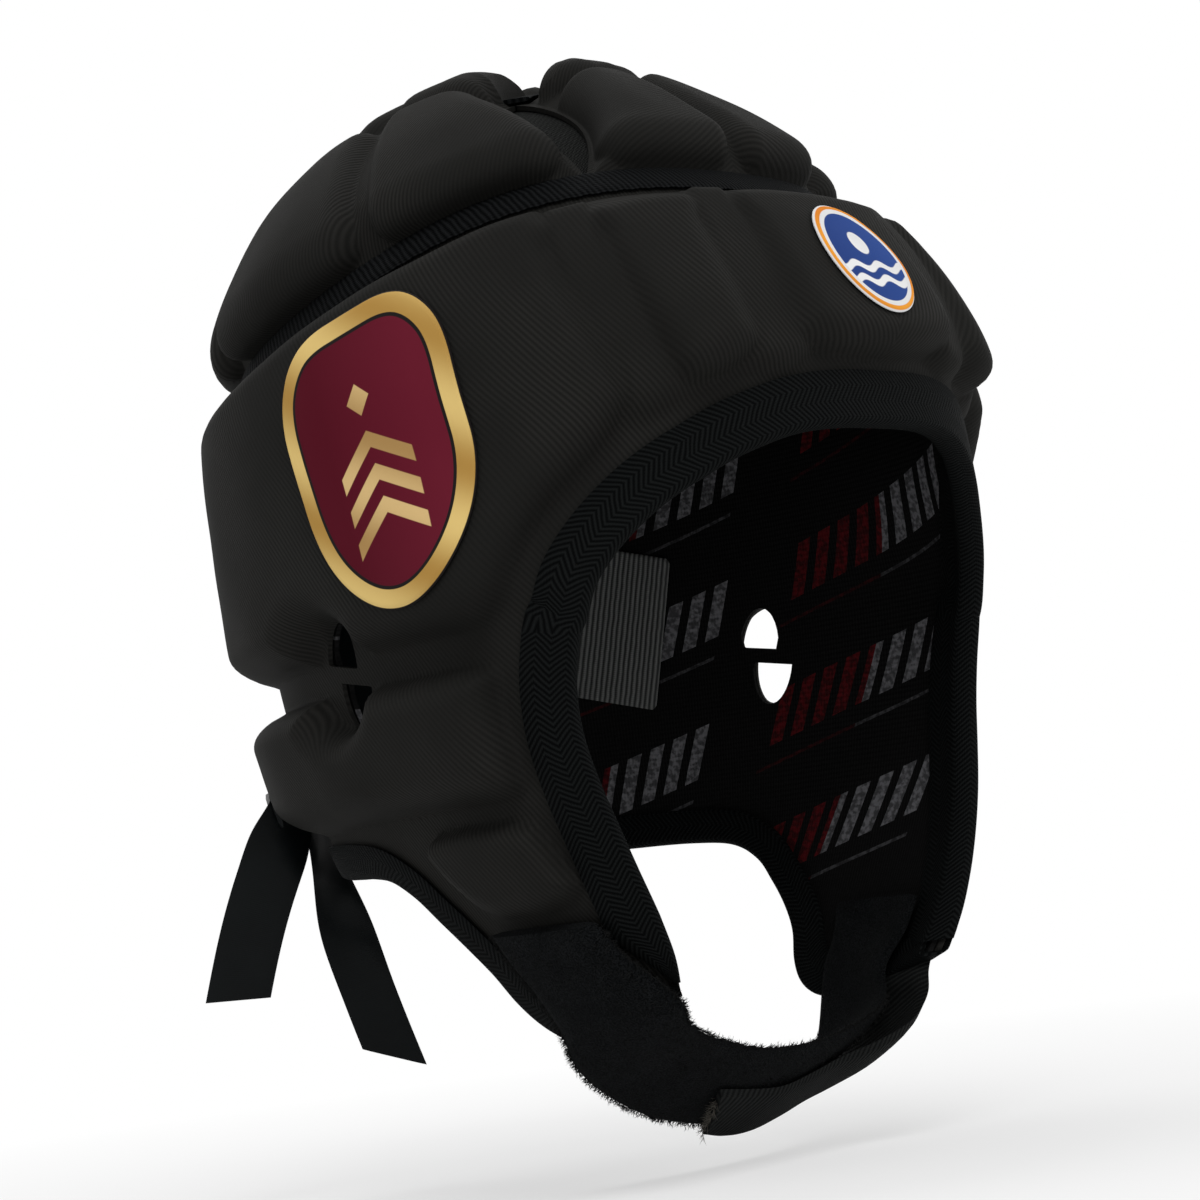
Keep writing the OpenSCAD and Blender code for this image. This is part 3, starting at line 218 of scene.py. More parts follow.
# Pads of the band, in the same metric as their solids
forehead_half = np.array([
    [0, 99.5], [12, 99], [21.5, 97.5], [20.3, 80], [19.3, 68], [17.8, 58.5], [10, 56.3], [0, 55.5]])
forehead_pad = np.concatenate([forehead_half, forehead_half[6:0:-1] * [-1, 1]])
brow_pad = np.array([
    [25, 97], [36, 96.5], [46.3, 93.5], [44, 79], [40.3, 65], [36.5, 52.5], [33, 50.5], [27, 53.5],
    [21.8, 58.5], [22.8, 70], [23.8, 82]])
temple_pad = np.array([
    [51, 97], [60, 95], [70, 91.5], [80, 88.5], [92, 84.2], [106, 79], [120, 74.8], [140, 71.5], [153, 70.7],
    [167, 70.6], [167, 40], [167, 4], [150, 4], [130, 4], [112, 4], [98, 4], [82, 4], [66, 4], [62.5, 9],
    [59.5, 18], [55.5, 27], [50.5, 34.5], [45.5, 41], [41.5, 48.5], [41.5, 54], [44, 65], [47.6, 79],
    [50, 90]])
side_pad = np.array([
    [64.5, -3], [80, -3], [98, -3], [115, -3], [140, -3], [167, -3], [167, -18], [167, -34], [140, -34],
    [115, -34], [95, -34], [80, -34], [64, -34], [64.5, -25], [65.5, -14]])
cheek_pad = np.array([
    [64, -38], [78, -37.3], [88, -38.5], [89.5, -44], [86, -51], [80.5, -58], [75, -60.5], [66, -59.5],
    [59.5, -57], [58, -54], [61, -46]])
pad_height, cheek_height = 10.5, 8
ear_place = (100, ear_level)
ear_flat_radius, ear_rim = 12, 9.5
gap_reach, gap_fade = 15, 9
bridge_height, bridge_low_height, bridge_drop, bridge_fade = 9.2, 5.2, 12, 42
top_height, top_drop, top_rim, top_end, top_fade = 10.2, 4.5, 13, 26, 14
last_top_angle, top_angle_fade = 122, 30
cover_limit = 10.6


def cut_corners(line, share, times):
    """A closed outline with its corners cut off, again and again."""
    for _ in range(times):
        after = np.roll(line, -1, axis=0)
        line = np.stack([mix(line, after, share), mix(line, after, 1 - share)], 1).reshape(-1, 2)
    return line


# Each pad of the band: outline in millimetres of the unrolled band, height, and width of its rim
band_pads = [(cut_corners(outline * [arc_per_degree, 1], 0.2, 2), pad_height, 9.0)
             for outline in (forehead_pad, brow_pad, temple_pad, side_pad)]
band_pads.append((cut_corners(cheek_pad * [arc_per_degree, 1], 0.14, 2), cheek_height, 6.5))


def depth_inside(u, v, line):
    """Distance from the outline, above 0 inside it."""
    nearest = np.full(u.shape, 1e9)
    inside = np.zeros(u.shape, bool)
    for p, q in zip(line, np.roll(line, -1, axis=0)):
        side = q - p
        t = np.clip(((u - p[0]) * side[0] + (v - p[1]) * side[1]) / (side @ side), 0, 1)
        nearest = np.minimum(nearest, np.hypot(u - p[0] - t * side[0], v - p[1] - t * side[1]))
        if p[1] != q[1]:
            over = (q[1] > v) != (p[1] > v)
            inside ^= over & (u < p[0] + (v - p[1]) * side[0] / (q[1] - p[1]))
    return np.where(inside, nearest, -nearest)


def cushion(x, power=2.3):
    """Share of the full height of a pad, at a share of the width of its rim."""
    c = np.clip(x, 0, 1)
    return 1 - (1 - c) ** power


def soft_max(a, b, power=5):
    return (np.maximum(a, 0) ** power + np.maximum(b, 0) ** power) ** (1 / power)


def band_rise(angle, level):
    """Height of the band cover over the bare shell."""
    u, v = np.abs(angle) * arc_per_degree, level
    ear = np.hypot(u - ear_place[0] * arc_per_degree, v - ear_place[1])
    ear_share = (ear - ear_flat_radius) / ear_rim
    rise = np.zeros(u.shape)
    depths = []
    for line, height, rim in band_pads:
        depth = depth_inside(u, v, line)
        depths.append(depth)
        share = np.minimum(depth / rim, ear_share)
        rise = np.maximum(rise, height * cushion(share) * (0.6 + 0.4 * ease(share * 4)))
    # The cover bridges the narrow gaps between the forehead, brow and temple pads
    near, next_near = np.sort(np.minimum(np.stack(depths[:3]), 0), axis=0)[::-1][:2]
    drop = seam_level(np.abs(angle) * 1.08) - level
    bridged = mix(bridge_height, bridge_low_height, ease((drop - bridge_drop) / bridge_fade))
    bridged = bridged * ease((gap_reach + near + next_near) / gap_fade)
    # Just below the crown seam it bridges all gaps, as far back as the ears
    top = top_height * cushion((drop - top_drop) / top_rim, 1.8) * ease((top_end - drop) / top_fade)
    top = top * ease((last_top_angle - np.abs(angle)) / top_angle_fade)
    between = np.maximum(np.minimum(bridged, top + 20 * ease((drop - 8) / 10)), top)
    return np.minimum(soft_max(rise, between), cover_limit)


# Meshes
def build(name, points, faces, uv, material, body="shell", sharp=50):
    """One mesh piece from points in metres, faces, and a flat coordinate for each corner of each face."""
    used, index = np.unique(np.concatenate([np.ravel(f) for f in faces]), return_inverse=True)
    counts = [len(f) for f in faces]
    mesh = bpy.data.meshes.new(name)
    start = np.concatenate([[0], np.cumsum(counts)])
    rows = [index[start[i]:start[i + 1]].tolist() for i in range(len(counts))]
    mesh.from_pydata(points[used].tolist(), [], rows)
    mesh.validate()
    layer = mesh.uv_layers.new(name="flat")
    layer.data.foreach_set("uv", np.concatenate([np.ravel(c) for c in uv]).astype(np.float32))
    mesh.polygons.foreach_set("use_smooth", np.ones(len(mesh.polygons), bool))
    mesh.set_sharp_from_angle(angle=math.radians(sharp))
    mesh.materials.append(material)
    piece = bpy.data.objects.new(name, mesh)
    bpy.context.scene.collection.objects.link(piece)
    if body:
        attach(piece, body)
    return piece


def outward(points, faces):
    """Whether the quads enclose a positive volume."""
    a, b, c, d = (points[faces[:, k]] for k in range(4))
    volume = np.einsum("ij,ij->i", a, np.cross(b, c)).sum() + np.einsum("ij,ij->i", a, np.cross(c, d)).sum()
    return volume > 0


def skin(name, outer, inner, uv, material, keep=None, sharp=50):
    """A closed skin between an outer and an inner grid of points, over the cells that are kept."""
    rows, cols = outer.shape[:2]
    keep = np.ones((rows - 1, cols - 1), bool) if keep is None else keep
    at = np.arange(rows * cols).reshape(rows, cols)
    i, j = np.nonzero(keep)
    front = np.stack([at[i, j], at[i, j + 1], at[i + 1, j + 1], at[i + 1, j]], -1)
    n = rows * cols
    quads = [front, front[:, ::-1] + n]
    around = np.pad(keep, 1)
    sides = ((-1, 0, (0, 0), (0, 1)), (1, 0, (1, 1), (1, 0)), (0, -1, (1, 0), (0, 0)), (0, 1, (0, 1), (1, 1)))
    for di, dj, a, b in sides:
        ii, jj = np.nonzero(keep & ~around[1 + di:rows + di, 1 + dj:cols + dj])
        p, q = at[ii + a[0], jj + a[1]], at[ii + b[0], jj + b[1]]
        quads.append(np.stack([q, p, p + n, q + n], -1))
    quads = np.concatenate(quads)
    points = np.concatenate([outer.reshape(-1, 3), inner.reshape(-1, 3)])
    flat = np.concatenate([uv.reshape(-1, 2)] * 2)
    if not outward(points, quads):
        quads = quads[:, ::-1]
    return build(name, points, quads, flat[quads], material, "shell", sharp)


def sweep(name, rings, uv, material, around=False, body="shell"):
    """A bar through rings of points; uv has one more column, and one more row if the bar runs around."""
    n, k = rings.shape[:2]
    i, j = (g.ravel() for g in np.meshgrid(np.arange(n if around else n - 1), np.arange(k), indexing="ij"))
    i2, j2 = (i + 1) % n, (j + 1) % k
    quads = np.stack([i * k + j, i * k + j2, i2 * k + j2, i2 * k + j], -1)
    flat = np.stack([uv[i, j], uv[i, j + 1], uv[i + 1, j + 1], uv[i + 1, j]], 1)
    points = rings.reshape(-1, 3)
    ends = [] if around else [np.arange(k)[::-1], np.arange(k) + (n - 1) * k]
    end_uv = [] if around else [uv[0, :k][::-1], uv[-1, :k]]
    ring_middle = rings.mean(1, keepdims=True)
    spokes = rings - ring_middle
    way = np.gradient(ring_middle[:, 0], axis=0)
    turned = np.einsum("ij,ij->i", np.cross(spokes[:, 0], spokes[:, k // 4]), way).sum() > 0
    if turned:
        quads, flat = quads[:, ::-1], flat[:, ::-1]
        ends = [e[::-1] for e in ends]
        end_uv = [e[::-1] for e in end_uv]
    return build(name, points, list(quads) + ends, list(flat) + end_uv, material, body)


def strip_uv(run, over):
    """Flat coordinates of a bar: lengths along it and over its profile, whose ring is closed."""
    return np.stack(np.broadcast_arrays(run[:, None], over[None, :]), -1)


def closed(values):
    return np.append(values, values[0])


def placed(line, sides, outs, across, height):
    """Rings of a bar whose profile lies across and above a line of points."""
    offsets = sides[:, None] * across[None, :, None] + outs[:, None] * height[None, :, None]
    return line[:, None] + offsets * MM


def grid(across, along):
    return np.broadcast_arrays(across[None, :], along[:, None])


def shell_skin(name, angle, level, high, low, uv, material, keep=None, sharp=50):
    """A skin between two offsets from the shell."""
    outer, inner = shell(angle, level, high), shell(angle, level, low)
    return skin(name, outer, inner, np.stack(uv, -1), material, keep, sharp)


def ribbon(name, rings, line, across, material, body="shell"):
    return sweep(name, rings, strip_uv(lengths(line), closed(across)), material, body=body)


def pairs(*names):
    return [f"{name}_{side}" for name in names for side in ("right", "left")]


def stand_for(piece, slot, *nodes):
    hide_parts(*nodes)
    return piece


def lengths(points):
    """Length along a line of points, from 0, in millimetres."""
    steps = np.linalg.norm(np.diff(points, axis=0), axis=-1)
    return np.concatenate([[0], np.cumsum(steps)]) / MM


# Materials
class Value:
    """A value that shading nodes work out, added up and compared like a number."""

    def __init__(self, nodes, socket):
        self.nodes, self.socket = nodes, socket

    def do(self, operation, *others):
        return self.nodes.value("ShaderNodeMath", dict(enumerate((self, *others))), operation=operation)

    def __add__(self, other):
        return self.do("ADD", other)

    def __sub__(self, other):
        return self.do("SUBTRACT", other)

    def __mul__(self, other):
        return self.do("MULTIPLY", other)

    def __gt__(self, other):
        return self.do("GREATER_THAN", other)

    def __lt__(self, other):
        return self.do("LESS_THAN", other)

    def __abs__(self):
        return self.do("ABSOLUTE")

    def larger(self, other):
        return self.do("MAXIMUM", other)

    def ramp(self, low, high, start=0.0, end=1.0):
        return self.nodes.value("ShaderNodeMapRange", {0: self, 1: low, 2: high, 3: start, 4: end})

    def within(self, low, high, soft=0.12):
        return self.ramp(low - soft, low + soft) * self.ramp(high - soft, high + soft, 1.0, 0.0)

    def stripes(self, period):
        """A soft wave from 0 to 1 over a value in millimetres."""
        return (self * (2 * math.pi / period)).do("SINE").do("MULTIPLY_ADD", 0.5, 0.5)

    def cycle(self, period):
        """The share of its period that the value has reached."""
        return self.do("DIVIDE", period).do("FRACT")


class Nodes:
    """The shading nodes of a material or of the world."""

    def __init__(self, tree):
        self.tree = tree

    def put(self, value, socket):
        if isinstance(value, Value):
            self.tree.links.new(value.socket, socket)
        else:
            socket.default_value = value

    def value(self, kind, inputs=None, output=0, **settings):
        """What a new node gives out, from the values of its inputs and its own settings."""
        node = self.tree.nodes.new(kind)
        for key, setting in settings.items():
            setattr(node, key, setting)
        for key, given in (inputs or {}).items():
            self.put(given, node.inputs[key])
        return Value(self, node.outputs[output])


class Surface(Nodes):
    """A material. Its u and v are a piece's flat coordinates, in millimetres."""

    def __init__(self, name, roughness, specular, **others):
        self.material = bpy.data.materials.new(name)
        self.material.use_nodes = True
        super().__init__(self.material.node_tree)
        self.shader = self.tree.nodes["Principled BSDF"]
        settings = {"Roughness": roughness, "Specular IOR Level": specular, **others}
        for key, value in settings.items():
            self.shader.inputs[key].default_value = value
        self.u, self.v = (self.flat("flat", axis) for axis in (0, 1))

    def flat(self, layer, axis):
        return self.value("ShaderNodeSeparateXYZ", {0: self.value("ShaderNodeUVMap", uv_map=layer)}, axis)

    def noise(self, scale, detail):
        """Noise from 0 to 1 in the object's own space, with its scale in features per metre."""
        place = self.value("ShaderNodeTexCoord", output="Object")
        return self.value("ShaderNodeTexNoise", {"Vector": place, "Scale": scale, "Detail": detail})

    def between(self, share, first, second):
        """A colour that passes from the first to the second."""
        first, second = (colour if isinstance(colour, Value) else (*colour, 1) for colour in (first, second))
        return self.value("ShaderNodeMix", {0: share, 6: first, 7: second}, 2, data_type="RGBA")

    def finish(self, colour, height, depth, strength=1.0):
        """The material, given its colour and its relief, whose depth is in millimetres."""
        relief = {"Strength": strength, "Distance": depth * MM, "Height": height}
        self.put(colour, self.shader.inputs["Base Color"])
        self.put(self.value("ShaderNodeBump", relief), self.shader.inputs["Normal"])
        return self.material


def grey(level):
    return (level, level, level)


# The second cover colour is painted sheen on the knit's ribs
cover_dark, cover_sheen = (0.0105, 0.0104, 0.0096), (0.0200, 0.0195, 0.0180)
rib_period, rib_wander = 1.05, 9


def rib_fabric(name, slope):
    """Knitted cover fabric with fine ribs, at a slope in degrees, that wander a little; the ribs are painted
    lighter, as sheen.
    """
    made = Surface(name, 0.7, 0.035)
    across = made.u * math.cos(math.radians(slope)) + made.v * math.sin(math.radians(slope))
    rib = (across + made.noise(16, 1) * rib_wander).stripes(rib_period)
    # Where the ribs show, in patches, they take the lighter colour: painted sheen, while their relief is real
    rib_and_painted_sheen = rib * made.noise(28, 2).ramp(0.38, 0.66, 0.25)
    fuzz = made.noise(1800, 2) * 0.5
    return made.finish(made.between(rib_and_painted_sheen, cover_dark, cover_sheen), rib_and_painted_sheen + fuzz, 0.12)


def twill_fabric(name, dark, light, period, slope, herring=0.0, gloss=0.04):
    """Woven tape: diagonal lines, in herringbone columns if herring is their width."""
    made = Surface(name, 0.75, gloss)
    over = made.v.do("PINGPONG", herring) if herring else made.v
    line = (made.u + over * slope + made.noise(300, 2) * 0.5).stripes(period)
    thread = made.v.stripes(0.55) * 0.35
    return made.finish(made.between(line, dark, light), line + thread, 0.22)


def printed_fabric(name):
    """Black knit with a generic print: slanting rows of bars, grey and dark red by turns, and a thin line."""
    row_pitch, row_shift, lean, bar_pitch, group_pitch = 34, 19, 22, 7.5, 90
    tilt, lowest_print = math.radians(14), -62
    made = Surface(name, 0.85, 0.03)
    along = made.u * math.cos(tilt) - made.v * math.sin(tilt)
    over = made.u * math.sin(tilt) + made.v * math.cos(tilt)
    row = over.cycle(row_pitch)
    row_number = over.do("DIVIDE", row_pitch).do("FLOOR")
    leaning = along + row_number * row_shift + row * lean
    group = leaning.cycle(group_pitch)
    filled = group < 0.75
    bars = (leaning.cycle(bar_pitch) < 0.6) * (row > 0.36) * (row < 0.74) * filled
    line = (row > 0.2) * (row < 0.225) * filled
    worn = made.noise(700, 2).ramp(0.42, 0.6, 0.35)
    printed = bars.larger(line * 0.35) * worn * (made.v > lowest_print)
    knit = made.u.stripes(0.9)
    ink = made.between(group > 0.36, (0.16, 0.16, 0.17), (0.09, 0.008, 0.010))
    colour = made.between(printed, made.between(knit, grey(0.0045), grey(0.0085)), ink)
    return made.finish(colour, knit + made.v.stripes(1.3), 0.1)


def satin_fabric(name, dark, light):
    """Smooth ribbon: painted gloss, a lighter colour in broad patches, and hardly any weave."""
    made = Surface(name, 0.4, 0.1)
    # Broad noise patches blend towards the lighter colour: painted gloss, which also drives a soft relief
    painted_gloss_patches = made.noise(70, 2)
    return made.finish(made.between(painted_gloss_patches, dark, light), painted_gloss_patches + made.u.stripes(0.5) * 0.02, 0.5)


def pile_fabric(name, dark, light):
    """Short looped pile: a fine speckle of fibre tips with softer patches of nap."""
    made = Surface(name, 0.92, 0.02, **{"Sheen Weight": 0.01, "Sheen Roughness": 0.6})
    tips, nap = made.noise(2600, 2), made.noise(130, 3)
    share = tips.ramp(0.36, 0.66) * nap.do("MULTIPLY_ADD", 0.9, 0.35)
    return made.finish(made.between(share, dark, light), tips + nap * 0.5, 0.5)


def thread_finish(name, dark, light):
    made = Surface(name, 0.85, 0.03)
    shade = made.noise(900, 2)
    return made.finish(made.between(shade, dark, light), shade, 0.02)


def metal_finish(name, dark, light):
    made = Surface(name, 0.34, 0.5, Metallic=0.9)
    worn = made.noise(500, 3)
    return made.finish(made.between(worn, dark, light), worn, 0.03, 0.4)


def chevrons(made):
    """Three stripes bent to a point, under a small diamond."""
    beside = abs(made.u)
    bent = made.v + beside * 0.75
    stripe = bent.within(4.5, 8.5)
    for low in (-3.5, -11.5):
        stripe = stripe.larger(bent.within(low, low + 4))
    diamond = beside + abs(made.v - 15.5)
    return (stripe * beside.within(-1, 10.5)).larger(diamond.within(-1, 3.4))


def waves_and_disc(made):
    """Two wavy stripes below a plain disc."""
    lift = made.v - (made.u * 0.75).do("SINE") * 0.7
    stripe = lift.within(-3.3, -1.7).larger(lift.within(-6.6, -5.0))
    from_middle = made.value("ShaderNodeCombineXYZ", {0: made.u, 1: made.v - 3.2})
    away = made.value("ShaderNodeVectorMath", {0: from_middle}, "Value", operation="LENGTH")
    return stripe.larger(away.within(-1, 2.7))


def printed_badge(name, motif, rim_width, line_width, rim, line, field, motif_colours):
    """Heat-set print: a rim, a thin line and a field with a motif, by the depth inside its outline; the field
    grows lighter across it, a painted sheen.
    """
    made = Surface(name, 0.6, 0.05)
    depth = made.flat("depth", 0)
    soft = 0.06

    def past(place):
        return depth.ramp(place - soft, place + soft)

    glow = (made.u * 0.8 + made.v).stripes(31)
    # The field passes from its colour to a lighter one across the badge: painted sheen
    field_colour_and_sheen = made.between(made.u.ramp(-12, 16), *field)
    inner = made.between(motif(made), field_colour_and_sheen, made.between(glow, *motif_colours))
    inner = made.between(past(rim_width + line_width), line, inner)
    colour = made.between(past(rim_width), made.between(glow, *rim), inner)
    colour = made.between(past(0.36), line, colour)
    return made.finish(colour, made.noise(900, 2) * 0.3 + past(rim_width), 0.12, 0.5)


cover_fabric = rib_fabric("cover_fabric", -35)
crown_front_fabric = rib_fabric("crown_front_fabric", 72)
crown_fabric = rib_fabric("crown_fabric", 12)
liner_fabric = printed_fabric("liner_fabric")
tape_fabric = twill_fabric("tape_fabric", (0.0012, 0.0014, 0.0016), (0.0095, 0.0102, 0.0108), 1.7, 0.9,
                           gloss=0.03)
binding_fabric = twill_fabric("binding_fabric", (0.0008, 0.0010, 0.0011), (0.0078, 0.0088, 0.0088), 1.3, 0.8,
                              herring=3.6, gloss=0.03)
mesh_fabric = twill_fabric("mesh_fabric", grey(0.002), (0.012, 0.013, 0.012), 1.2, 1.0, herring=1.2)
strap_fabric = twill_fabric("strap_fabric", (0.0050, 0.0053, 0.0055), (0.0160, 0.0170, 0.0165), 1.4, 0.35)
label_fabric = twill_fabric("label_fabric", (0.035, 0.037, 0.037), (0.19, 0.195, 0.19), 1.6, 0.0)
loop_fabric = pile_fabric("loop_fabric", (0.0014, 0.0017, 0.0018), (0.0115, 0.0125, 0.0135))
hook_fabric = pile_fabric("hook_fabric", (0.0045, 0.0048, 0.0050), (0.0210, 0.0215, 0.0225))
# The lighter, bluer ribbon colour is painted gloss
ribbon_fabric = satin_fabric("ribbon_fabric", (0.0004, 0.0008, 0.0010), (0.0024, 0.0040, 0.0044))
pile_thread = thread_finish("pile_thread", (0.006, 0.0065, 0.0068), (0.016, 0.016, 0.0155))
pale_thread = thread_finish("pale_thread", (0.06, 0.057, 0.05), (0.20, 0.185, 0.16))
eyelet_finish = metal_finish("eyelet_finish", (0.012, 0.012, 0.013), (0.05, 0.05, 0.052))
# The second, lighter field colour of each badge is painted sheen
side_print = printed_badge(
    "side_badge_print", chevrons, 4.6, 0.8, rim=((0.78, 0.56, 0.20), (0.44, 0.25, 0.06)),
    line=(0.012, 0.010, 0.010), field=((0.085, 0.0035, 0.012), (0.135, 0.010, 0.024)),
    motif_colours=((0.72, 0.50, 0.22), (0.42, 0.25, 0.09)))
front_print = printed_badge(
    "front_badge_print", waves_and_disc, 1.3, 1.1, rim=((0.86, 0.34, 0.035), (0.72, 0.22, 0.02)),
    line=grey(0.75), field=((0.016, 0.045, 0.20), (0.024, 0.07, 0.28)),
    motif_colours=(grey(0.84), grey(0.76)))


# Band cover with the pads swelling in it, as one fabric shell
def band_columns(last, brow_count, ear_count):
    """Columns from the middle of the forehead to both sides, with one at each front corner of an ear."""
    half = np.concatenate([np.linspace(0, corner, brow_count), np.linspace(corner, last, ear_count)[1:]])
    return np.concatenate([-half[:0:-1], half])


ear_slope = math.radians(10)
ear_half_width, ear_half_height, ear_apart, half_ear_bar = 6.4, 10.8, 2.5, 1.9
ear_mean_radius = 7.9
ear_reach = 30


def ear_opening(angle, level):
    """Distance outside the two openings of an ear web, in millimetres; below 0 within them."""
    u = (np.abs(angle) - ear_place[0]) * arc_per_degree
    v = level - ear_place[1]
    x = u * math.cos(ear_slope) + v * math.sin(ear_slope)
    y = -u * math.sin(ear_slope) + v * math.cos(ear_slope)
    best = np.full(u.shape, 1e9)
    for half in (1, -1):
        dx, dy = x - half * ear_apart, y * half - half_ear_bar
        round_share = np.sqrt((dx / ear_half_width) ** 2 + (dy / ear_half_height) ** 2 + 1e-9)
        best = np.minimum(best, np.maximum((round_share - 1) * ear_mean_radius, -dy))
    return best


def around_cells(cells):
    """Whether each grid point touches one of the cells."""
    cells = np.pad(cells, 1)
    return cells[1:, 1:] | cells[1:, :-1] | cells[:-1, 1:] | cells[:-1, :-1]


def cut_openings(angle, level, keep):
    """Drops the cells in the ear openings and draws the rim of the rest onto their outlines."""
    out = ear_opening(angle, level)
    middle = (out[1:, 1:] + out[:-1, 1:] + out[1:, :-1] + out[:-1, :-1]) / 4
    cut = (middle < 0) & (np.abs(level[:-1, :-1]) < ear_reach)
    keep = keep & ~cut
    rim = around_cells(cut) & around_cells(keep)
    step = 0.05
    for _ in range(4):
        value = ear_opening(angle, level)
        by_angle = (ear_opening(angle + step / arc_per_degree, level) - value) / step
        by_level = (ear_opening(angle, level + step) - value) / step
        size = np.maximum(by_angle ** 2 + by_level ** 2, 0.2)
        angle = np.where(rim, angle - value * by_angle / size / arc_per_degree, angle)
        level = np.where(rim, level - value * by_level / size, level)
    return angle, level, keep


def band_grid(columns, upper_count, lower_count):
    """Angles and levels of a grid over the band with its ear openings, and which cells it keeps."""
    uppers, lowers = np.linspace(0, 1, upper_count), np.linspace(0, 1, lower_count)[1:]
    upper_angle, upper_level = upper_place(columns[None, :], uppers[:, None])
    lower_angle, lower_level = lower_place(columns[None, :], lowers[:, None])
    angle = np.concatenate([upper_angle, lower_angle]) * np.sign(columns)
    level = np.concatenate([upper_level, lower_level])
    keep = np.ones((len(angle) - 1, len(columns) - 1), bool)
    middle = (columns[1:] + columns[:-1]) / 2
    keep[upper_count - 1:, np.abs(middle) < corner] = False
    return cut_openings(angle, level, keep)


cover_thickness, full_slack_rise = 1.2, 6
liner_front, liner_back = -1.8, -3.0


def slack(u, v, rise, length, height, seed):
    """Low waves in the fabric where a pad lifts it."""
    return soft_noise(u, v, length, seed) * height * ease(rise / full_slack_rise)


def cover_slack(angle, level, rise):
    return slack(angle * arc_per_degree, level, rise, length=26, height=0.22, seed=3)


angle, level, keep = band_grid(band_columns(last_column, 92, 121), 66, 66)
rise = band_rise(angle, level)
band_cover = shell_skin("band_cover_padded", angle, level, rise + cover_slack(angle, level, rise),
                        -cover_thickness, [np.abs(angle) * arc_per_degree, level], cover_fabric, keep, 80)
stand_for(band_cover, "cover_fabric", "band_cover", "forehead_foam",
          *pairs("brow_foam", "temple_foam", "side_foam", "cheek_foam"))

# Band liner
angle, level, keep = band_grid(band_columns(last_column - 2, 50, 60), 40, 46)
ripple = soft_noise(angle * arc_per_degree, level, 34, 5) * 0.15
band_liner = shell_skin("band_liner_printed", angle, level, liner_front, liner_back + ripple,
                        [angle * arc_per_degree, level], liner_fabric, keep)
stand_for(band_liner, "liner_fabric", "band_liner")

# Crown
crown_arc = 95
crown_pad_height, crown_rim, crown_low_rim, crown_bulge = 11.3, 7.5, 8.5, 11
front_seam_rim, rear_seam_rim, front_overhang, rear_overhang = 11.5, 13, 1.0, 2.2
upper_row_start, seam_margin = 0.66, 2.6
cross_seam_angle, cross_seam_end, cross_seam_bend = 43, 90, 1.35
vent_start, vent_end, vent_half_width, seam_half_gap, vent_mesh_lap = 0.03, 0.72, 6.2, 0.15, 4
bridge_start, bridge_margin, crown_bridge_height, bridge_rim = 0.045, 1.5, 7.2, 13
crown_liner_front, crown_liner_back, vent_mesh_front, vent_mesh_back = -2.6, -3.8, -1.5, -2.3


def crown_level(angle, share):
    start = np.arcsin((seam_level(angle) + seam_gap - dome_level) / dome_rise)
    return dome_level + dome_rise * np.sin(mix(start, math.pi / 2, share))


def cross_angle(share):
    """Where the cross seam runs, from the temple to the side of the crown."""
    return mix(cross_seam_angle, cross_seam_end, ease(share ** cross_seam_bend))


def vent_half(share):
    """Half the width of the leaf-shaped vent in the cross seam, in millimetres."""
    t = np.clip((share - vent_start) / (vent_end - vent_start), 0, 1)
    return seam_half_gap + vent_half_width * np.sin(math.pi * t ** 1.25) ** 0.9


def per_degree(angle, share):
    return arc_at(angle, crown_level(angle, share))


def seam_edge(share, side):
    a = cross_angle(share)
    return a + side * vent_half(share) / np.maximum(per_degree(a, share), 0.02)


def blocks_rise(blocks, across, share, width, from_seam, overhang, seam_rims):
    """Height of crown blocks and how far their lower and side walls lean out, in millimetres."""
    rise, lean_across, lean_along = np.zeros(across.shape), np.zeros(across.shape), np.zeros(across.shape)
    rim = crown_rim
    for (first, last), (start, end) in blocks:
        from_first, from_last = (across - first) * width, (last - across) * width
        first_rim = seam_rims[0] if abs(first) < 0.05 else rim
        last_rim = seam_rims[1] if last > 0.9 else rim
        side = np.minimum(from_first * rim / first_rim, from_last * rim / last_rim)
        side = np.where(share > upper_row_start, np.minimum(side, from_seam * width - seam_margin), side)
        is_low_block = start < 0.3
        low, high = (share - start) * crown_arc, (end - share) * crown_arc
        a = np.clip(1 - side / rim, 0, 1.5)
        b = np.clip(np.maximum(1 - low / (crown_low_rim if is_low_block else rim), 1 - high / rim), 0, 1.5)
        size = np.hypot(a, b)
        x = np.clip(1 - size, 0, 1)
        height = crown_pad_height * cushion(x, 2.8)
        bulge = crown_bulge * x * (1 - x) ** 2.2
        low_lean = bulge * np.where((low < high) & is_low_block, overhang, 1)
        size = np.maximum(size, 1e-6)
        better = height > rise
        outwards = np.where(from_first < from_last, -1, 1)
        lean_across = np.where(better, 0.5 * bulge * a / size * outwards, lean_across)
        lean_along = np.where(better, low_lean * b / size * np.where(low < high, -1, 0.4), lean_along)
        rise = np.maximum(rise, height)
    from_edge = np.minimum((share - bridge_start) * crown_arc, from_seam * width - bridge_margin)
    between = crown_bridge_height * cushion(from_edge / bridge_rim, 2)
    return soft_max(rise, between, 7), lean_across, lean_along


front_blocks = [((0.01, 0.97), (0.045, 0.585)), ((-0.97, 0.97), (0.605, 0.97))]
rear_blocks = [((0.012, 0.312), (0.045, 0.56)), ((0.328, 0.662), (0.045, 0.56)),
               ((0.678, 0.99), (0.045, 0.56)), ((0.012, 0.43), (0.585, 0.97)), ((0.45, 0.99), (0.585, 0.97))]
crown_shares = np.concatenate([np.linspace(0, 0.2, 26), np.linspace(0.2, 0.97, 72)[1:]])


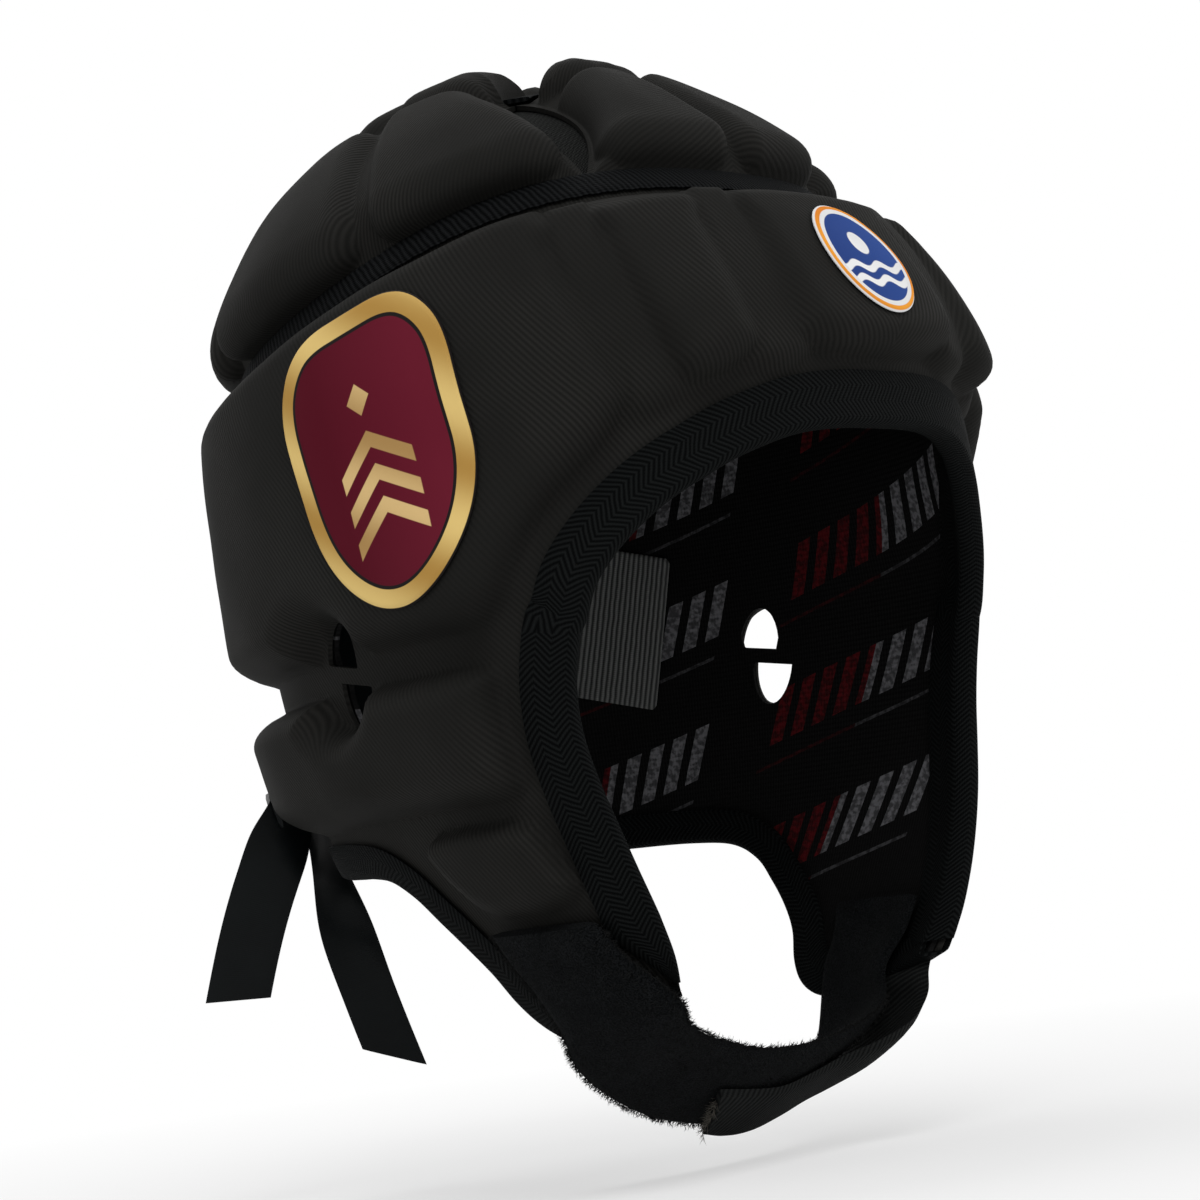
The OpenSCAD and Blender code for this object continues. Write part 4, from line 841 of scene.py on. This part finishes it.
def crown_panel(name, is_front, count, fabric, nodes):
    """The front panel runs from seam to seam over the forehead, and the rear one over the nape."""
    start = -1 if is_front else 0
    across, share = grid(np.linspace(start, start + 2, count), crown_shares)
    edge = seam_edge(share, -1 if is_front else 1)
    if is_front:
        width = edge * per_degree(20, share)
        reach, side = np.abs(across), np.sign(across)
        rise, lean_a, lean_s = blocks_rise(front_blocks, reach, share, width, 1 - reach, front_overhang,
                                           (crown_rim, front_seam_rim))
        angle = across * edge
        lean_angle = side * lean_a / np.maximum(width, 1) * edge
    else:
        width = (180 - edge) * per_degree(120, share)
        reach, side = np.where(across > 1, 2 - across, across), np.where(across > 1, -1, 1)
        rise, lean_a, lean_s = blocks_rise(rear_blocks, reach, share, width, reach, rear_overhang,
                                           (rear_seam_rim, crown_rim))
        angle = mix(edge, 180, reach)
        angle = np.where(side < 0, 360 - angle, angle)
        lean_angle = side * lean_a / np.maximum(width, 1) * (180 - edge)
    half = np.abs(np.where(angle > 180, 360 - angle, angle))
    level = crown_level(half, share + lean_s / crown_arc)
    waves = slack(angle * 1.4, share * crown_arc, rise, length=24, height=0.25, seed=11)
    outer = shell(angle + lean_angle, level, rise + waves)
    inner = shell(angle, crown_level(half, share), -cover_thickness)
    uv = np.stack([(half - 90) * mix(arc_per_degree, 0.9, share), share * crown_arc], -1)
    piece = stand_for(skin(name, outer, inner, uv, fabric, sharp=80), "cover_fabric", *nodes)


crown_panel("crown_front_padded", True, 221, crown_front_fabric, [
    "crown_front_cover", *pairs("crown_front_lower_foam"), "crown_front_upper_foam"])
crown_panel("crown_rear_padded", False, 321, crown_fabric, ["crown_rear_cover", *pairs(
    "crown_side_foam", "crown_rear_side_foam", "crown_back_foam", "crown_upper_side_foam",
    "crown_upper_back_foam")])

# Crown liner, closed over the apex
angle, share = grid(np.linspace(-180, 180, 121), np.append(np.linspace(0, 0.96, 34), [0.985, 0.999]))
liner_uv = [angle * mix(arc_per_degree, 0.3, share), seam_level(angle) + share * crown_arc]
crown_liner = shell_skin("crown_liner_printed", angle, crown_level(angle, share), crown_liner_front,
                         crown_liner_back, liner_uv, liner_fabric)
stand_for(crown_liner, "liner_fabric", "crown_liner")

# Vent mesh behind the two leaf-shaped openings
for side, word in ((-1, "right"), (1, "left")):
    across, share = grid(np.linspace(-1, 1, 17), np.linspace(0.01, 0.78, 60))
    middle = cross_angle(share)
    angle = middle + across * (vent_half(share) + vent_mesh_lap) / per_degree(middle, share)
    piece = shell_skin(f"vent_mesh_{word}_woven", side * angle, crown_level(angle, share), vent_mesh_front,
                       vent_mesh_back, [across * 9, share * crown_arc], mesh_fabric)
    stand_for(piece, "mesh_fabric", f"crown_vent_mesh_{word}")


def tape_profile(half_width, low, high):
    """Profile of a flat tape with soft edges: across and height values of a closed ring."""
    a = np.linspace(-1, 1, 10)
    swell = np.maximum(np.sqrt(np.maximum(1 - np.abs(a) ** 5, 0)), 0.25)
    middle, half = (low + high) / 2, (high - low) / 2
    height = np.concatenate([middle + half * swell, middle - half * swell])
    return np.append(a, a[::-1]) * half_width, height


# Tape round the seam between crown and band
across, height = tape_profile(half_width=3.5, low=0.3, high=1.45)
angle = np.linspace(-180, 180, 421)[:-1]
level = np.where(across < 0, seam_level(angle)[:, None] + across,
                 crown_level(angle[:, None], across / crown_arc))
wave = 0.12 * np.sin(angle * 1.7)[:, None]
rings = shell(angle[:, None], level + wave, height)
uv = strip_uv(np.append(angle, 180) * arc_per_degree, closed(across))
seam_tape = sweep("crown_seam_tape_twill", rings, uv, tape_fabric, around=True)
stand_for(seam_tape, "tape_fabric", "crown_seam_tape")

# Tape over the cross seam
share = np.linspace(0.73, 0.97, 30)
half_angle, half_level = cross_angle(share), crown_level(cross_angle(share), share)
line = np.concatenate([shell(half_angle, half_level), [shell(0.0, crown_height)],
                       shell(-half_angle[::-1], half_level[::-1])])
line = smooth(np.linspace(0, 1, len(line)), line, np.linspace(0, 1, 81))
along = unit(np.gradient(line, axis=0))
out = unit(np.cross(along, np.cross([0, 0, 1.0], along)))
across, height = tape_profile(half_width=4, low=0.7, high=1.8)
rings = placed(line, np.cross(out, along), out, across, height)
cross_tape = ribbon("crown_cross_tape_twill", rings, line, across, tape_fabric)
stand_for(cross_tape, "tape_fabric", "crown_cross_tape")


# Bindings folded over the free edges
def binding_profile(width):
    """Across (inwards from the edge) and height of a folded tape, as a closed ring."""
    high, low, nose_reach, nose_start = 1.55, -4.8, 1.8, 0.4
    middle, half = (high + low) / 2, (high - low) / 2
    nose = [(nose_start + nose_reach * math.cos(t), middle + half * math.sin(t))
            for t in np.radians(np.linspace(90, 270, 13))]
    rows = np.linspace(width, nose_start, 14)[:-1]
    droops = 0.35 * (rows / width) ** 6
    outer_leg = np.stack([rows, high - droops + 0.12 * np.sin(math.pi * rows / width)], -1)
    inner_leg = np.stack([rows, low + droops], -1)[::-1]
    inside = [(width, -3.9), (width - 0.2, -3.7), (0.3, -3.7), (-0.2, -1.6), (0.3, 0.45), (width - 0.2, 0.45),
              (width, 0.65)]
    return np.concatenate([outer_leg, nose, inner_leg, inside])


def binding(name, node, places, width, inward, narrowing, lift=0.0):
    """A binding along an edge; where its narrowing is below 1 it is narrower, and lifted off the cover."""
    arc = arc_at(places[:, 0], places[:, 1])
    way = unit(np.gradient(places, axis=0) * np.stack([arc, np.ones(len(arc))], -1))
    side = np.stack([-way[:, 1], way[:, 0]], -1) * inward
    profile = binding_profile(width)
    over, height = profile.T
    share = narrowing[:, None]
    across = over * np.where(over > 0.5, share, mix(0.3, 1, share))
    angle = places[:, :1] + side[:, :1] * across / arc[:, None]
    level = places[:, 1:] + side[:, 1:] * across
    rings = shell(angle, level, height + lift * (1 - share) * np.where(height > 0, 1, -1))
    run = lengths(shell(places[:, 0], places[:, 1]))
    round_profile = lengths(np.concatenate([profile, profile[:1]]) * MM)
    piece = sweep(name, rings, strip_uv(run, round_profile), binding_fabric)
    stand_for(piece, "binding_fabric", node)


jaw_tip = -78
face_binding_width, jaw_binding_width = 11.5, 7.5
side_levels = np.linspace(jaw_tip, ear_level, 106)
side_places = np.stack([smooth(face_edge[:, 0], face_edge[:, 1], side_levels), side_levels], -1)
brow_numbers = np.linspace(corner, 0, 120)[1:]
brow_levels = smooth(column_numbers[:corner + 1], edge_levels[:corner + 1], brow_numbers)
brow_places = np.stack([smooth(column_numbers, edge_angles, brow_numbers), brow_levels], -1)
half_line = np.concatenate([side_places, brow_places])
above_tip = half_line[:, 1] - jaw_tip
right_share = np.clip(mix(0.1, 1, above_tip / 15), 0.1, 1)
left_share = np.clip(mix(0.5, 1, above_tip / 4), 0.5, 1)
face_line = np.concatenate([half_line, half_line[-2::-1] * [-1, 1]])
face_share = np.concatenate([left_share, right_share[-2::-1]])
binding("face_binding_woven", "face_binding", face_line, face_binding_width, -1, face_share, lift=0.4)
jaw_numbers = np.linspace(corner, last_column, 230)
jaw_line = smooth(column_numbers[corner:], ear_columns[:, 2:], jaw_numbers)
jaw_share = mix(0.35, 1, ease(np.linspace(0, 14, len(jaw_numbers))))
binding("jaw_binding_left_woven", "jaw_binding_left", jaw_line, jaw_binding_width, 1, mix(0.7, 1, jaw_share))
binding("jaw_binding_right_woven", "jaw_binding_right", jaw_line * [-1, 1], jaw_binding_width, -1, jaw_share)

# Chin straps: rows of places on the shell at the ends, as [angle, level], and of free points between them
share_across = np.linspace(0, 1, 13)
loop_root_front = np.array([[-56, -62], [-52.5, -69.5], [-47.6, -76], [-44.2, -80.8]])
loop_root_rear = np.array([[-80, -62], [-77, -69], [-74, -76], [-71.5, -84]])
loop_end_front = np.array([[49, -80], [50, -73], [51, -66]])
loop_end_rear = np.array([[71.5, -80], [73.5, -73], [75, -66]])
loop_front = np.array([[-44.8, -60, -85.7], [-35, -55.5, -89], [-18, -53, -94], [0, -51, -96],
                       [18, -51.5, -94.5], [34, -52.5, -89.5]]) * MM
loop_rear = np.array([[-49, -28, -93.5], [-38.5, -26, -101], [-21, -25.5, -109], [0, -26.5, -112.5],
                      [20, -27, -109], [36, -27.5, -99.5]]) * MM


def rows_between(fronts, rears):
    return mix(fronts[:, None], rears[:, None], share_across[None, :, None])


def rows_on_shell(fronts, rears, offsets):
    places = rows_between(fronts, rears)
    return shell(places[..., 0], places[..., 1], np.array(offsets)[:, None])


def along_rows(values):
    """One value for each row, or one for all, ready to be multiplied with points."""
    return np.reshape(values, (-1, 1, 1)) * MM


def free_rows(fronts, rears, outs, bulges):
    bow = (1 - (2 * share_across - 1) ** 2)[None, :, None]
    return rows_between(fronts, rears) + outs[:, None] * along_rows(bulges) * bow


def out_ways(fronts, rears):
    """The way out of the cloth at each row."""
    ends = fronts + rears
    ends = np.concatenate([ends[:1], ends, ends[-1:]])
    return unit(np.cross(rears - fronts, ends[2:] - ends[:-2]))


root_rows = rows_on_shell(loop_root_front, loop_root_rear, [1.7, 2.75, 2.85, 2.95])
end_rows = rows_on_shell(loop_end_front, loop_end_rear, [-10.2, -8.8, -8.8])
fronts = np.concatenate([root_rows[:, 0], loop_front, end_rows[:, 0]])
rears = np.concatenate([root_rows[:, -1], loop_rear, end_rows[:, -1]])
outs = out_ways(fronts, rears)
loop_rows = np.concatenate([root_rows, free_rows(loop_front, loop_rear, outs[4:10], bulges=1.2), end_rows])


def strap(name, rows, outs, low, high, count, fabric, body, wobble=0.0, seed=1):
    """A flat strap through rows of points, from low to high over them, with soft edges."""
    run = lengths(rows[:, rows.shape[1] // 2])
    at = np.linspace(0, run[-1], count)
    rows = smooth(run, rows, at)
    outs = unit(smooth(run, outs, at))
    swell = np.sqrt(np.maximum(1 - np.abs(2 * share_across - 1) ** 6, 0))
    half, centre = (high - low) / 2, (high + low) / 2
    ripple = soft_noise(at[:, None], share_across[None, :] * 30, 17, seed) * wobble
    top = rows + outs[:, None] * (centre + half * swell + ripple)[..., None] * MM
    bottom = rows + outs[:, None] * (centre - half * swell + ripple)[..., None] * MM
    rings = np.concatenate([top, bottom[:, -2:0:-1]], 1)
    width = lengths(rows[len(rows) // 2])
    over = np.concatenate([width, width[-2:0:-1], [0]])
    return sweep(name, rings, strip_uv(at, over), fabric, body=body)


loop_strap = strap("chin_loop_strap_pile", loop_rows, outs, low=0, high=3.4, count=190, fabric=loop_fabric,
                   body="shell", wobble=0.15, seed=21)
stand_for(loop_strap, "loop_fabric", "chin_loop_strap")

# The hook strap lies over the loop strap and is sewn into the flap under the left jaw
hook_level = 4.6
side_front = np.array([[39.5, -58.5, -94], [44.6, -59.2, -89.9]]) * MM
side_rear = np.array([[43.5, -28, -104], [47.6, -28.3, -98.2]]) * MM
root_row = [shell(45.5, -85.4, 1), shell(71.5, -90.8, 1)]
sewn_row = [shell(46.3, -81, -1.4), shell(72.5, -84.5, -1.4)]
over_loop = outs[6:9] * hook_level * MM
hook_fronts = np.concatenate([fronts[6:9] + over_loop, side_front, root_row[:1], sewn_row[:1]])
hook_rears = np.concatenate([rears[6:9] + over_loop, side_rear, root_row[1:], sewn_row[1:]])
hook_insets = np.array([0.38, 0.36, 0.24, 0, 0, 0, 0])[:, None]
hook_fronts = mix(hook_fronts, hook_rears, hook_insets)
hook_rears[0] = mix(hook_rears[0], hook_rears[1], 0.55)
hook_outs = out_ways(hook_fronts, hook_rears)
hook_outs[:3] = outs[6:9]
hook_drops = [0, 0, 0, 0, -0.6, -2.2, 0]
hook_bulges = [0.5, 0.5, 0.6, 2.0, 0.9, 0, 0.6]
hook_rows = free_rows(hook_fronts, hook_rears, hook_outs, hook_bulges)
hook_rows = hook_rows + hook_outs[:, None] * along_rows(hook_drops)
hook_strap = strap("chin_hook_strap_woven", hook_rows, hook_outs, low=0, high=2.2, count=130,
                   fabric=strap_fabric, body=None, wobble=0.1, seed=22)
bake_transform(hook_strap)
stand_for(hook_strap, "strap_fabric", "chin_hook_strap")
tape_share = mix(0.06, 0.94, share_across[:, None])
tape_rows = np.stack([mix(row[:1], row[-1:], tape_share) for row in hook_rows[:2]])
tape_rows[0] = mix(tape_rows[0], tape_rows[1], 0.12)
hook_tape = strap("chin_hook_tape_pile", tape_rows, hook_outs[:2], low=-1.1, high=-0.25, count=30,
                  fabric=hook_fabric, body="hook_strap")
stand_for(hook_tape, "hook_plastic", "chin_hook_tape")


def fibres(name, roots, ways, reach, radius, fabric, body):
    """Short loose threads, each a thin spike with one bend."""
    n = len(roots)
    ways = unit(ways + random.normal(0, 0.45, (n, 3)))
    side = unit(np.cross(ways, random.normal(0, 1, (n, 3))))
    other = np.cross(ways, side)
    turns = np.radians([0, 120, 240])[None, :, None]
    ring = (side[:, None] * np.cos(turns) + other[:, None] * np.sin(turns)) * radius * MM
    size = reach * random.uniform(0.5, 1, n)[:, None] * MM
    bend = side * size * random.uniform(0.1, 0.4, (n, 1))
    middle = roots + ways * size * 0.55 + bend * 0.4
    tip = roots + ways * size + bend * 1.6
    points = np.concatenate([roots[:, None] + ring, middle[:, None] + ring * 0.8, tip[:, None]], 1)
    pattern = [(0, 2, 1), (0, 1, 4, 3), (1, 2, 5, 4), (2, 0, 3, 5), (3, 4, 6), (4, 5, 6), (5, 3, 6)]
    faces = [np.array(p) + 7 * i for i in range(n) for p in pattern]
    flat = [np.zeros((len(face), 2)) for face in faces]
    return build(name, points.reshape(-1, 3), faces, flat, fabric, body)


face_fibre_lift, edge_fibre_lift = 3.2, 1.7


def strap_spots(rows, outs, count, edge_share):
    """Random places over a strap's rows, part of them on its two edges, with the way out of the cloth."""
    at = random.uniform(0, len(rows) - 1.001, count)
    across = random.uniform(0, 1, count)
    on_edge = random.uniform(0, 1, count) < edge_share
    across = np.where(on_edge, np.round(across), across)
    i = at.astype(int)
    part = (at - i)[:, None]
    j = across * (rows.shape[1] - 1)
    j0 = np.minimum(j.astype(int), rows.shape[1] - 2)
    j_part = (j - j0)[:, None]
    low = mix(rows[i, j0], rows[i, j0 + 1], j_part)
    high = mix(rows[i + 1, j0], rows[i + 1, j0 + 1], j_part)
    sideways = unit(rows[i, -1] - rows[i, 0]) * np.where(on_edge, np.sign(across - 0.5), 0)[:, None]
    out_way = unit(mix(outs[i], outs[i + 1], part))
    lift = np.where(on_edge, edge_fibre_lift, face_fibre_lift)[:, None] * MM
    return mix(low, high, part) + out_way * lift, unit(out_way * 0.6 + sideways * 1.4)


fine_run = lengths(loop_rows[:, 6])
fine_at = np.linspace(0, fine_run[-1] * 0.8, 120)
fine_rows, fine_outs = smooth(fine_run, loop_rows, fine_at), unit(smooth(fine_run, outs, fine_at))
spots, ways = strap_spots(fine_rows, fine_outs, count=3600, edge_share=0.6)
fuzz = fibres("chin_loop_strap_fuzz", spots, ways, reach=1.7, radius=0.1, fabric=pile_thread, body="shell")
stand_for(fuzz, "loop_fabric", "chin_loop_strap")
fray_count = 130
first_row = hook_rows[0]
fray_roots = mix(first_row[:1], first_row[-1:], random.uniform(0.25, 1, fray_count)[:, None])
fray_roots = fray_roots + hook_outs[0] * random.uniform(0.2, 2, (fray_count, 1)) * MM
fray_way = unit(first_row[:1] - hook_rows[1][:1]) + [[0, 0, -0.5]]
frayed = fibres("chin_hook_strap_frayed_end", fray_roots, np.repeat(fray_way, fray_count, 0), reach=2.6,
                radius=0.08, fabric=pale_thread, body="hook_strap")
stand_for(frayed, "strap_fabric", "chin_hook_strap")


# Badges and label
def badge(name, node, slot, material, place, turn, outline, thickness, lift, on_cover=True, rounding=0.25):
    """A patch of the outline (points round it, in millimetres), bent to the surface it is stuck on."""
    line = cut_corners(outline, rounding, 3)
    around = lengths(np.concatenate([line, line[:1]]) * MM)
    at = np.linspace(0, around[-1], 161)
    loop = np.stack([np.interp(at, around, closed(line[:, k])) for k in (0, 1)], -1)
    spots = loop[None] * np.linspace(0.001, 1, 45)[:, None, None]
    c, s = math.cos(math.radians(turn)), math.sin(math.radians(turn))
    x, y = spots[..., 0], spots[..., 1]
    level = place[1] + (x * s + y * c) * 0.98
    angle = place[0] + (x * c - y * s) / (arc_at(place[0], level) + 0.18)
    edge = thickness * np.clip(np.abs(depth_inside(x, y, loop[:-1])) / 0.5, 0.35, 1)
    if on_cover:
        base = np.maximum(band_rise(angle, level), 0)
        low = base + cover_slack(angle, level, base) + lift
        high = low + edge
    else:
        low, high = lift, lift - edge
    piece = shell_skin(name, angle, level, high, low, [x, y], material, sharp=60)
    corners = np.zeros(len(piece.data.loops) * 2)
    piece.data.uv_layers["flat"].data.foreach_get("uv", corners)
    depth = np.maximum(depth_inside(corners[::2], corners[1::2], loop[:-1]), 0)
    layer = piece.data.uv_layers.new(name="depth")
    layer.data.foreach_set("uv", np.stack([depth, np.zeros(len(depth))], -1).ravel().astype(np.float32))
    stand_for(piece, slot, node)


crest_half = np.array([[12.5, 34], [20, 29.6], [25, 21.1], [25, 6.8], [24.2, -8.5], [19.5, -21.1],
                       [10.5, -30.6], [0, -34]])
crest = np.concatenate([crest_half, crest_half[6::-1] * [-1, 1], [[0, 34]]]) * 1.025
badge("side_badge_crest", "side_badge", "side_badge_rubber", side_print, place=(-79, 44), turn=12,
      outline=crest, thickness=0.9, lift=0.5)
round_turns = np.radians(np.arange(0, 360, 12))
round_line = np.stack([np.cos(round_turns), np.sin(round_turns)], -1) * 13
badge("front_badge_round", "front_badge", "front_badge_rubber", front_print, place=(0, 77), turn=0,
      outline=round_line, thickness=0.8, lift=0.5)
label_step = 7.08
label_half = np.array([[2, 3], [0, 3], [-2, 3], [-2, 1], [-2, -1]])
label_line = np.concatenate([label_half, -label_half]) * label_step
badge("inner_label_woven", "inner_label", "label_fabric", label_fabric, place=(130, 14), turn=15,
      outline=label_line, thickness=0.6, lift=-4.0, on_cover=False, rounding=0.08)

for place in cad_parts["lace_eyelets"].material_slots:
    place.material = eyelet_finish

# Rear gusset
gusset_half_angle, gusset_low, gusset_high = 15.5, -42.5, 70
gusset_angles = np.linspace(180 - gusset_half_angle, 180 + gusset_half_angle, 40)
angle, level = grid(gusset_angles, np.linspace(gusset_low, gusset_high, 90))
gusset = shell_skin("rear_gusset_knit", angle, level, liner_front, liner_back,
                    [angle * arc_per_degree, level], ribbon_fabric)
stand_for(gusset, "ribbon_fabric", "rear_gusset")

# Lace keeper and tails; the keeper's heights are [angle, offset]
keeper_level, tail_level, tail_offset = -25.5, -30.3, 11.7
keeper_heights = np.array([[191, 10.6], [196, 12.6], [207, 12.6], [212, 10.2]])
angles = np.linspace(keeper_heights[0, 0], keeper_heights[-1, 0], 60)
bump = np.interp(angles, *keeper_heights.T)
across, height = tape_profile(half_width=4.5, low=0, high=1.2)
rings = shell(angles[:, None], across + keeper_level, bump[:, None] + height)
keeper = ribbon("lace_keeper_ribbon", rings, rings[:, 0], across, ribbon_fabric)
stand_for(keeper, "ribbon_fabric", "lace_keeper")


def lace_tail(node, body, angle, wide, shift, drift, flat_side, first_turn, turn_end, slant):
    """A ribbon that hangs by a drift and turns over to a flat side as it hangs, cut off at a slant."""
    t = np.linspace(0, 1, 60)
    rad = math.radians(angle)
    out_way = np.array([math.sin(rad), -math.cos(rad), 0])
    side_way = np.array([math.cos(rad), math.sin(rad), 0])
    root = shell(angle, tail_level, tail_offset) + np.array(shift) * MM
    line = root + (np.array(drift) * t[:, None] + out_way * 1.8 * np.sin(math.pi * t)[:, None]) * MM
    along = unit(np.gradient(line, axis=0))
    sides = (side_way, np.array(flat_side))
    start_way, end_way = (unit(way - along * (along @ way)[:, None]) for way in sides)
    if start_way[0] @ end_way[0] < 0:
        end_way = -end_way
    ways = unit(mix(start_way, end_way, mix(first_turn, 1, ease(t / turn_end))[:, None]))
    faces = np.cross(ways, along)
    faces = faces * np.where(faces @ out_way < 0, -1, 1)[:, None]
    across, height = tape_profile(wide / 2, low=0, high=1.0)
    slanting = ease((t - 0.7) / 0.3)[:, None, None] * (across * slant)[None, :, None] * MM
    rings = placed(line, ways, faces, across, height) + along[:, None] * slanting
    tail = ribbon(f"{node}_ribbon", rings, line, across, ribbon_fabric, body)
    stand_for(tail, "ribbon_fabric", node)


lace_tail("lace_tail_long", "long_tail", 210, 15.8, shift=[4, -2, 6], drift=[-13.5, 15, -47],
          flat_side=(0.66, -0.74, 0.1), first_turn=0.4, turn_end=0.4, slant=0.27)
lace_tail("lace_tail_short", "short_tail", 199, 14, shift=[6.3, -1.6, 0], drift=[13, -3.5, -61],
          flat_side=(0.6, -0.8, 0), first_turn=0, turn_end=0.75, slant=-0.7)

# Lace through the eyelets, as [angle, level, offset]
eyelet_levels = [40, 10, -20]
left_side, right_side = 170.5, 189.5
in_eyelet, on_cover = 1.7, 2.6
beside_eyelet, over_slit, past_eyelet = 2.5, 9.5, 3.4


def lace_bar(start, end, level):
    way = np.sign(end - start)
    angles = (start + way * beside_eyelet, start + way * over_slit, end - way * beside_eyelet)
    above = [[angle, level, on_cover] for angle in angles]
    return [[start, level, in_eyelet], *above, [end, level, in_eyelet]]


def lace_drop(angle, row):
    first, last = eyelet_levels[row] - past_eyelet, eyelet_levels[row + 1] + past_eyelet
    return [[angle, first, on_cover], [angle, last, on_cover]]


route = np.array(lace_bar(left_side, right_side, eyelet_levels[0]) + lace_drop(right_side, 0)
                 + lace_bar(right_side, left_side, eyelet_levels[1]) + lace_drop(left_side, 1)
                 + lace_bar(left_side, right_side, eyelet_levels[2])
                 + [[192, -21.5, 5], [194.5, -23.5, 9.5], [198, -25.5, 12], [201, -26, 12]])
turns = shell(route[:, 0], route[:, 1], route[:, 2])
cut_turns = np.stack([mix(turns[:-1], turns[1:], 0.7)[:-1], mix(turns[:-1], turns[1:], 0.3)[1:]], 1)
lace_points = np.concatenate([turns[:1], cut_turns.reshape(-1, 3), turns[-1:]])
lace_width = 1.8 * MM
lace_data = bpy.data.curves.new("rear_lace_cord", "CURVE")
lace_data.dimensions = "3D"
spline = lace_data.splines.new("POLY")
spline.points.add(len(lace_points) - 1)
for point, place in zip(spline.points, lace_points):
    point.co = (*place, 1)
lace_data.bevel_depth = lace_width / 2
lace_data.use_fill_caps = True
lace_data.materials.append(ribbon_fabric)
lace = bpy.data.objects.new("rear_lace_cord", lace_data)
bpy.context.scene.collection.objects.link(lace)
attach(lace, "shell")
stand_for(lace, "ribbon_fabric", "rear_lace")

# Floor, backdrop and light
floor_level = -0.125
floor_mesh = bpy.data.meshes.new("floor")
floor_corners = [(-6, -6, floor_level), (6, -6, floor_level), (6, 6, floor_level), (-6, 6, floor_level)]
floor_mesh.from_pydata(floor_corners, [], [(0, 1, 2, 3)])
floor = bpy.data.objects.new("floor", floor_mesh)
bpy.context.scene.collection.objects.link(floor)
paper = Surface("floor_paper", 0.95, 0.1)
paper.shader.inputs["Base Color"].default_value = (0.88, 0.88, 0.88, 1)
glow = paper.value("ShaderNodeEmission", {"Color": (1, 1, 1, 1), "Strength": 1.0})
spot = paper.value("ShaderNodeTexCoord", output="Object")
x, y = (abs(paper.value("ShaderNodeSeparateXYZ", {0: spot}, axis)).do("POWER", 2.0) for axis in (0, 1))
fade = (x + y).do("SQRT").ramp(0.12, 0.55, 0.5)
seen = paper.value("ShaderNodeLightPath", output="Is Camera Ray")
lit = Value(paper, paper.shader.outputs[0])
both = paper.value("ShaderNodeMixShader", {0: fade * seen, 1: lit, 2: glow})
paper.put(both, paper.tree.nodes["Material Output"].inputs["Surface"])
floor_mesh.materials.append(paper.material)

world = bpy.data.worlds.new("world")
bpy.context.scene.world = world
world.use_nodes = True
sky = Nodes(world.node_tree)
camera_ray, glossy_ray, through_ray = (sky.value("ShaderNodeLightPath", output=ray) for ray in (
    "Is Camera Ray", "Is Glossy Ray", "Is Transmission Ray"))
seen = camera_ray.larger(glossy_ray.larger(through_ray))
background = world.node_tree.nodes["Background"].inputs
sky.put(seen * 0.4 + 0.6, background["Strength"])
background["Color"].default_value = (1, 1, 1, 1)

lamp_aim = Vector((0, 0, 0.02))
for name, place, size, power in (("key", (-0.7, -0.9, 1.3), 0.8, 9), ("fill", (1.2, -0.9, 0.5), 1.0, 3),
                                 ("top", (0.1, 0.5, 1.5), 1.0, 4)):
    lamp_data = bpy.data.lights.new(name, "AREA")
    lamp_data.shape = "DISK"
    lamp_data.size = size
    lamp_data.energy = power
    lamp = bpy.data.objects.new(name, lamp_data)
    lamp.location = place
    lamp.rotation_euler = (lamp_aim - Vector(place)).to_track_quat("-Z", "Y").to_euler()
    bpy.context.scene.collection.objects.link(lamp)
bpy.context.scene.view_settings.view_transform = "Standard"
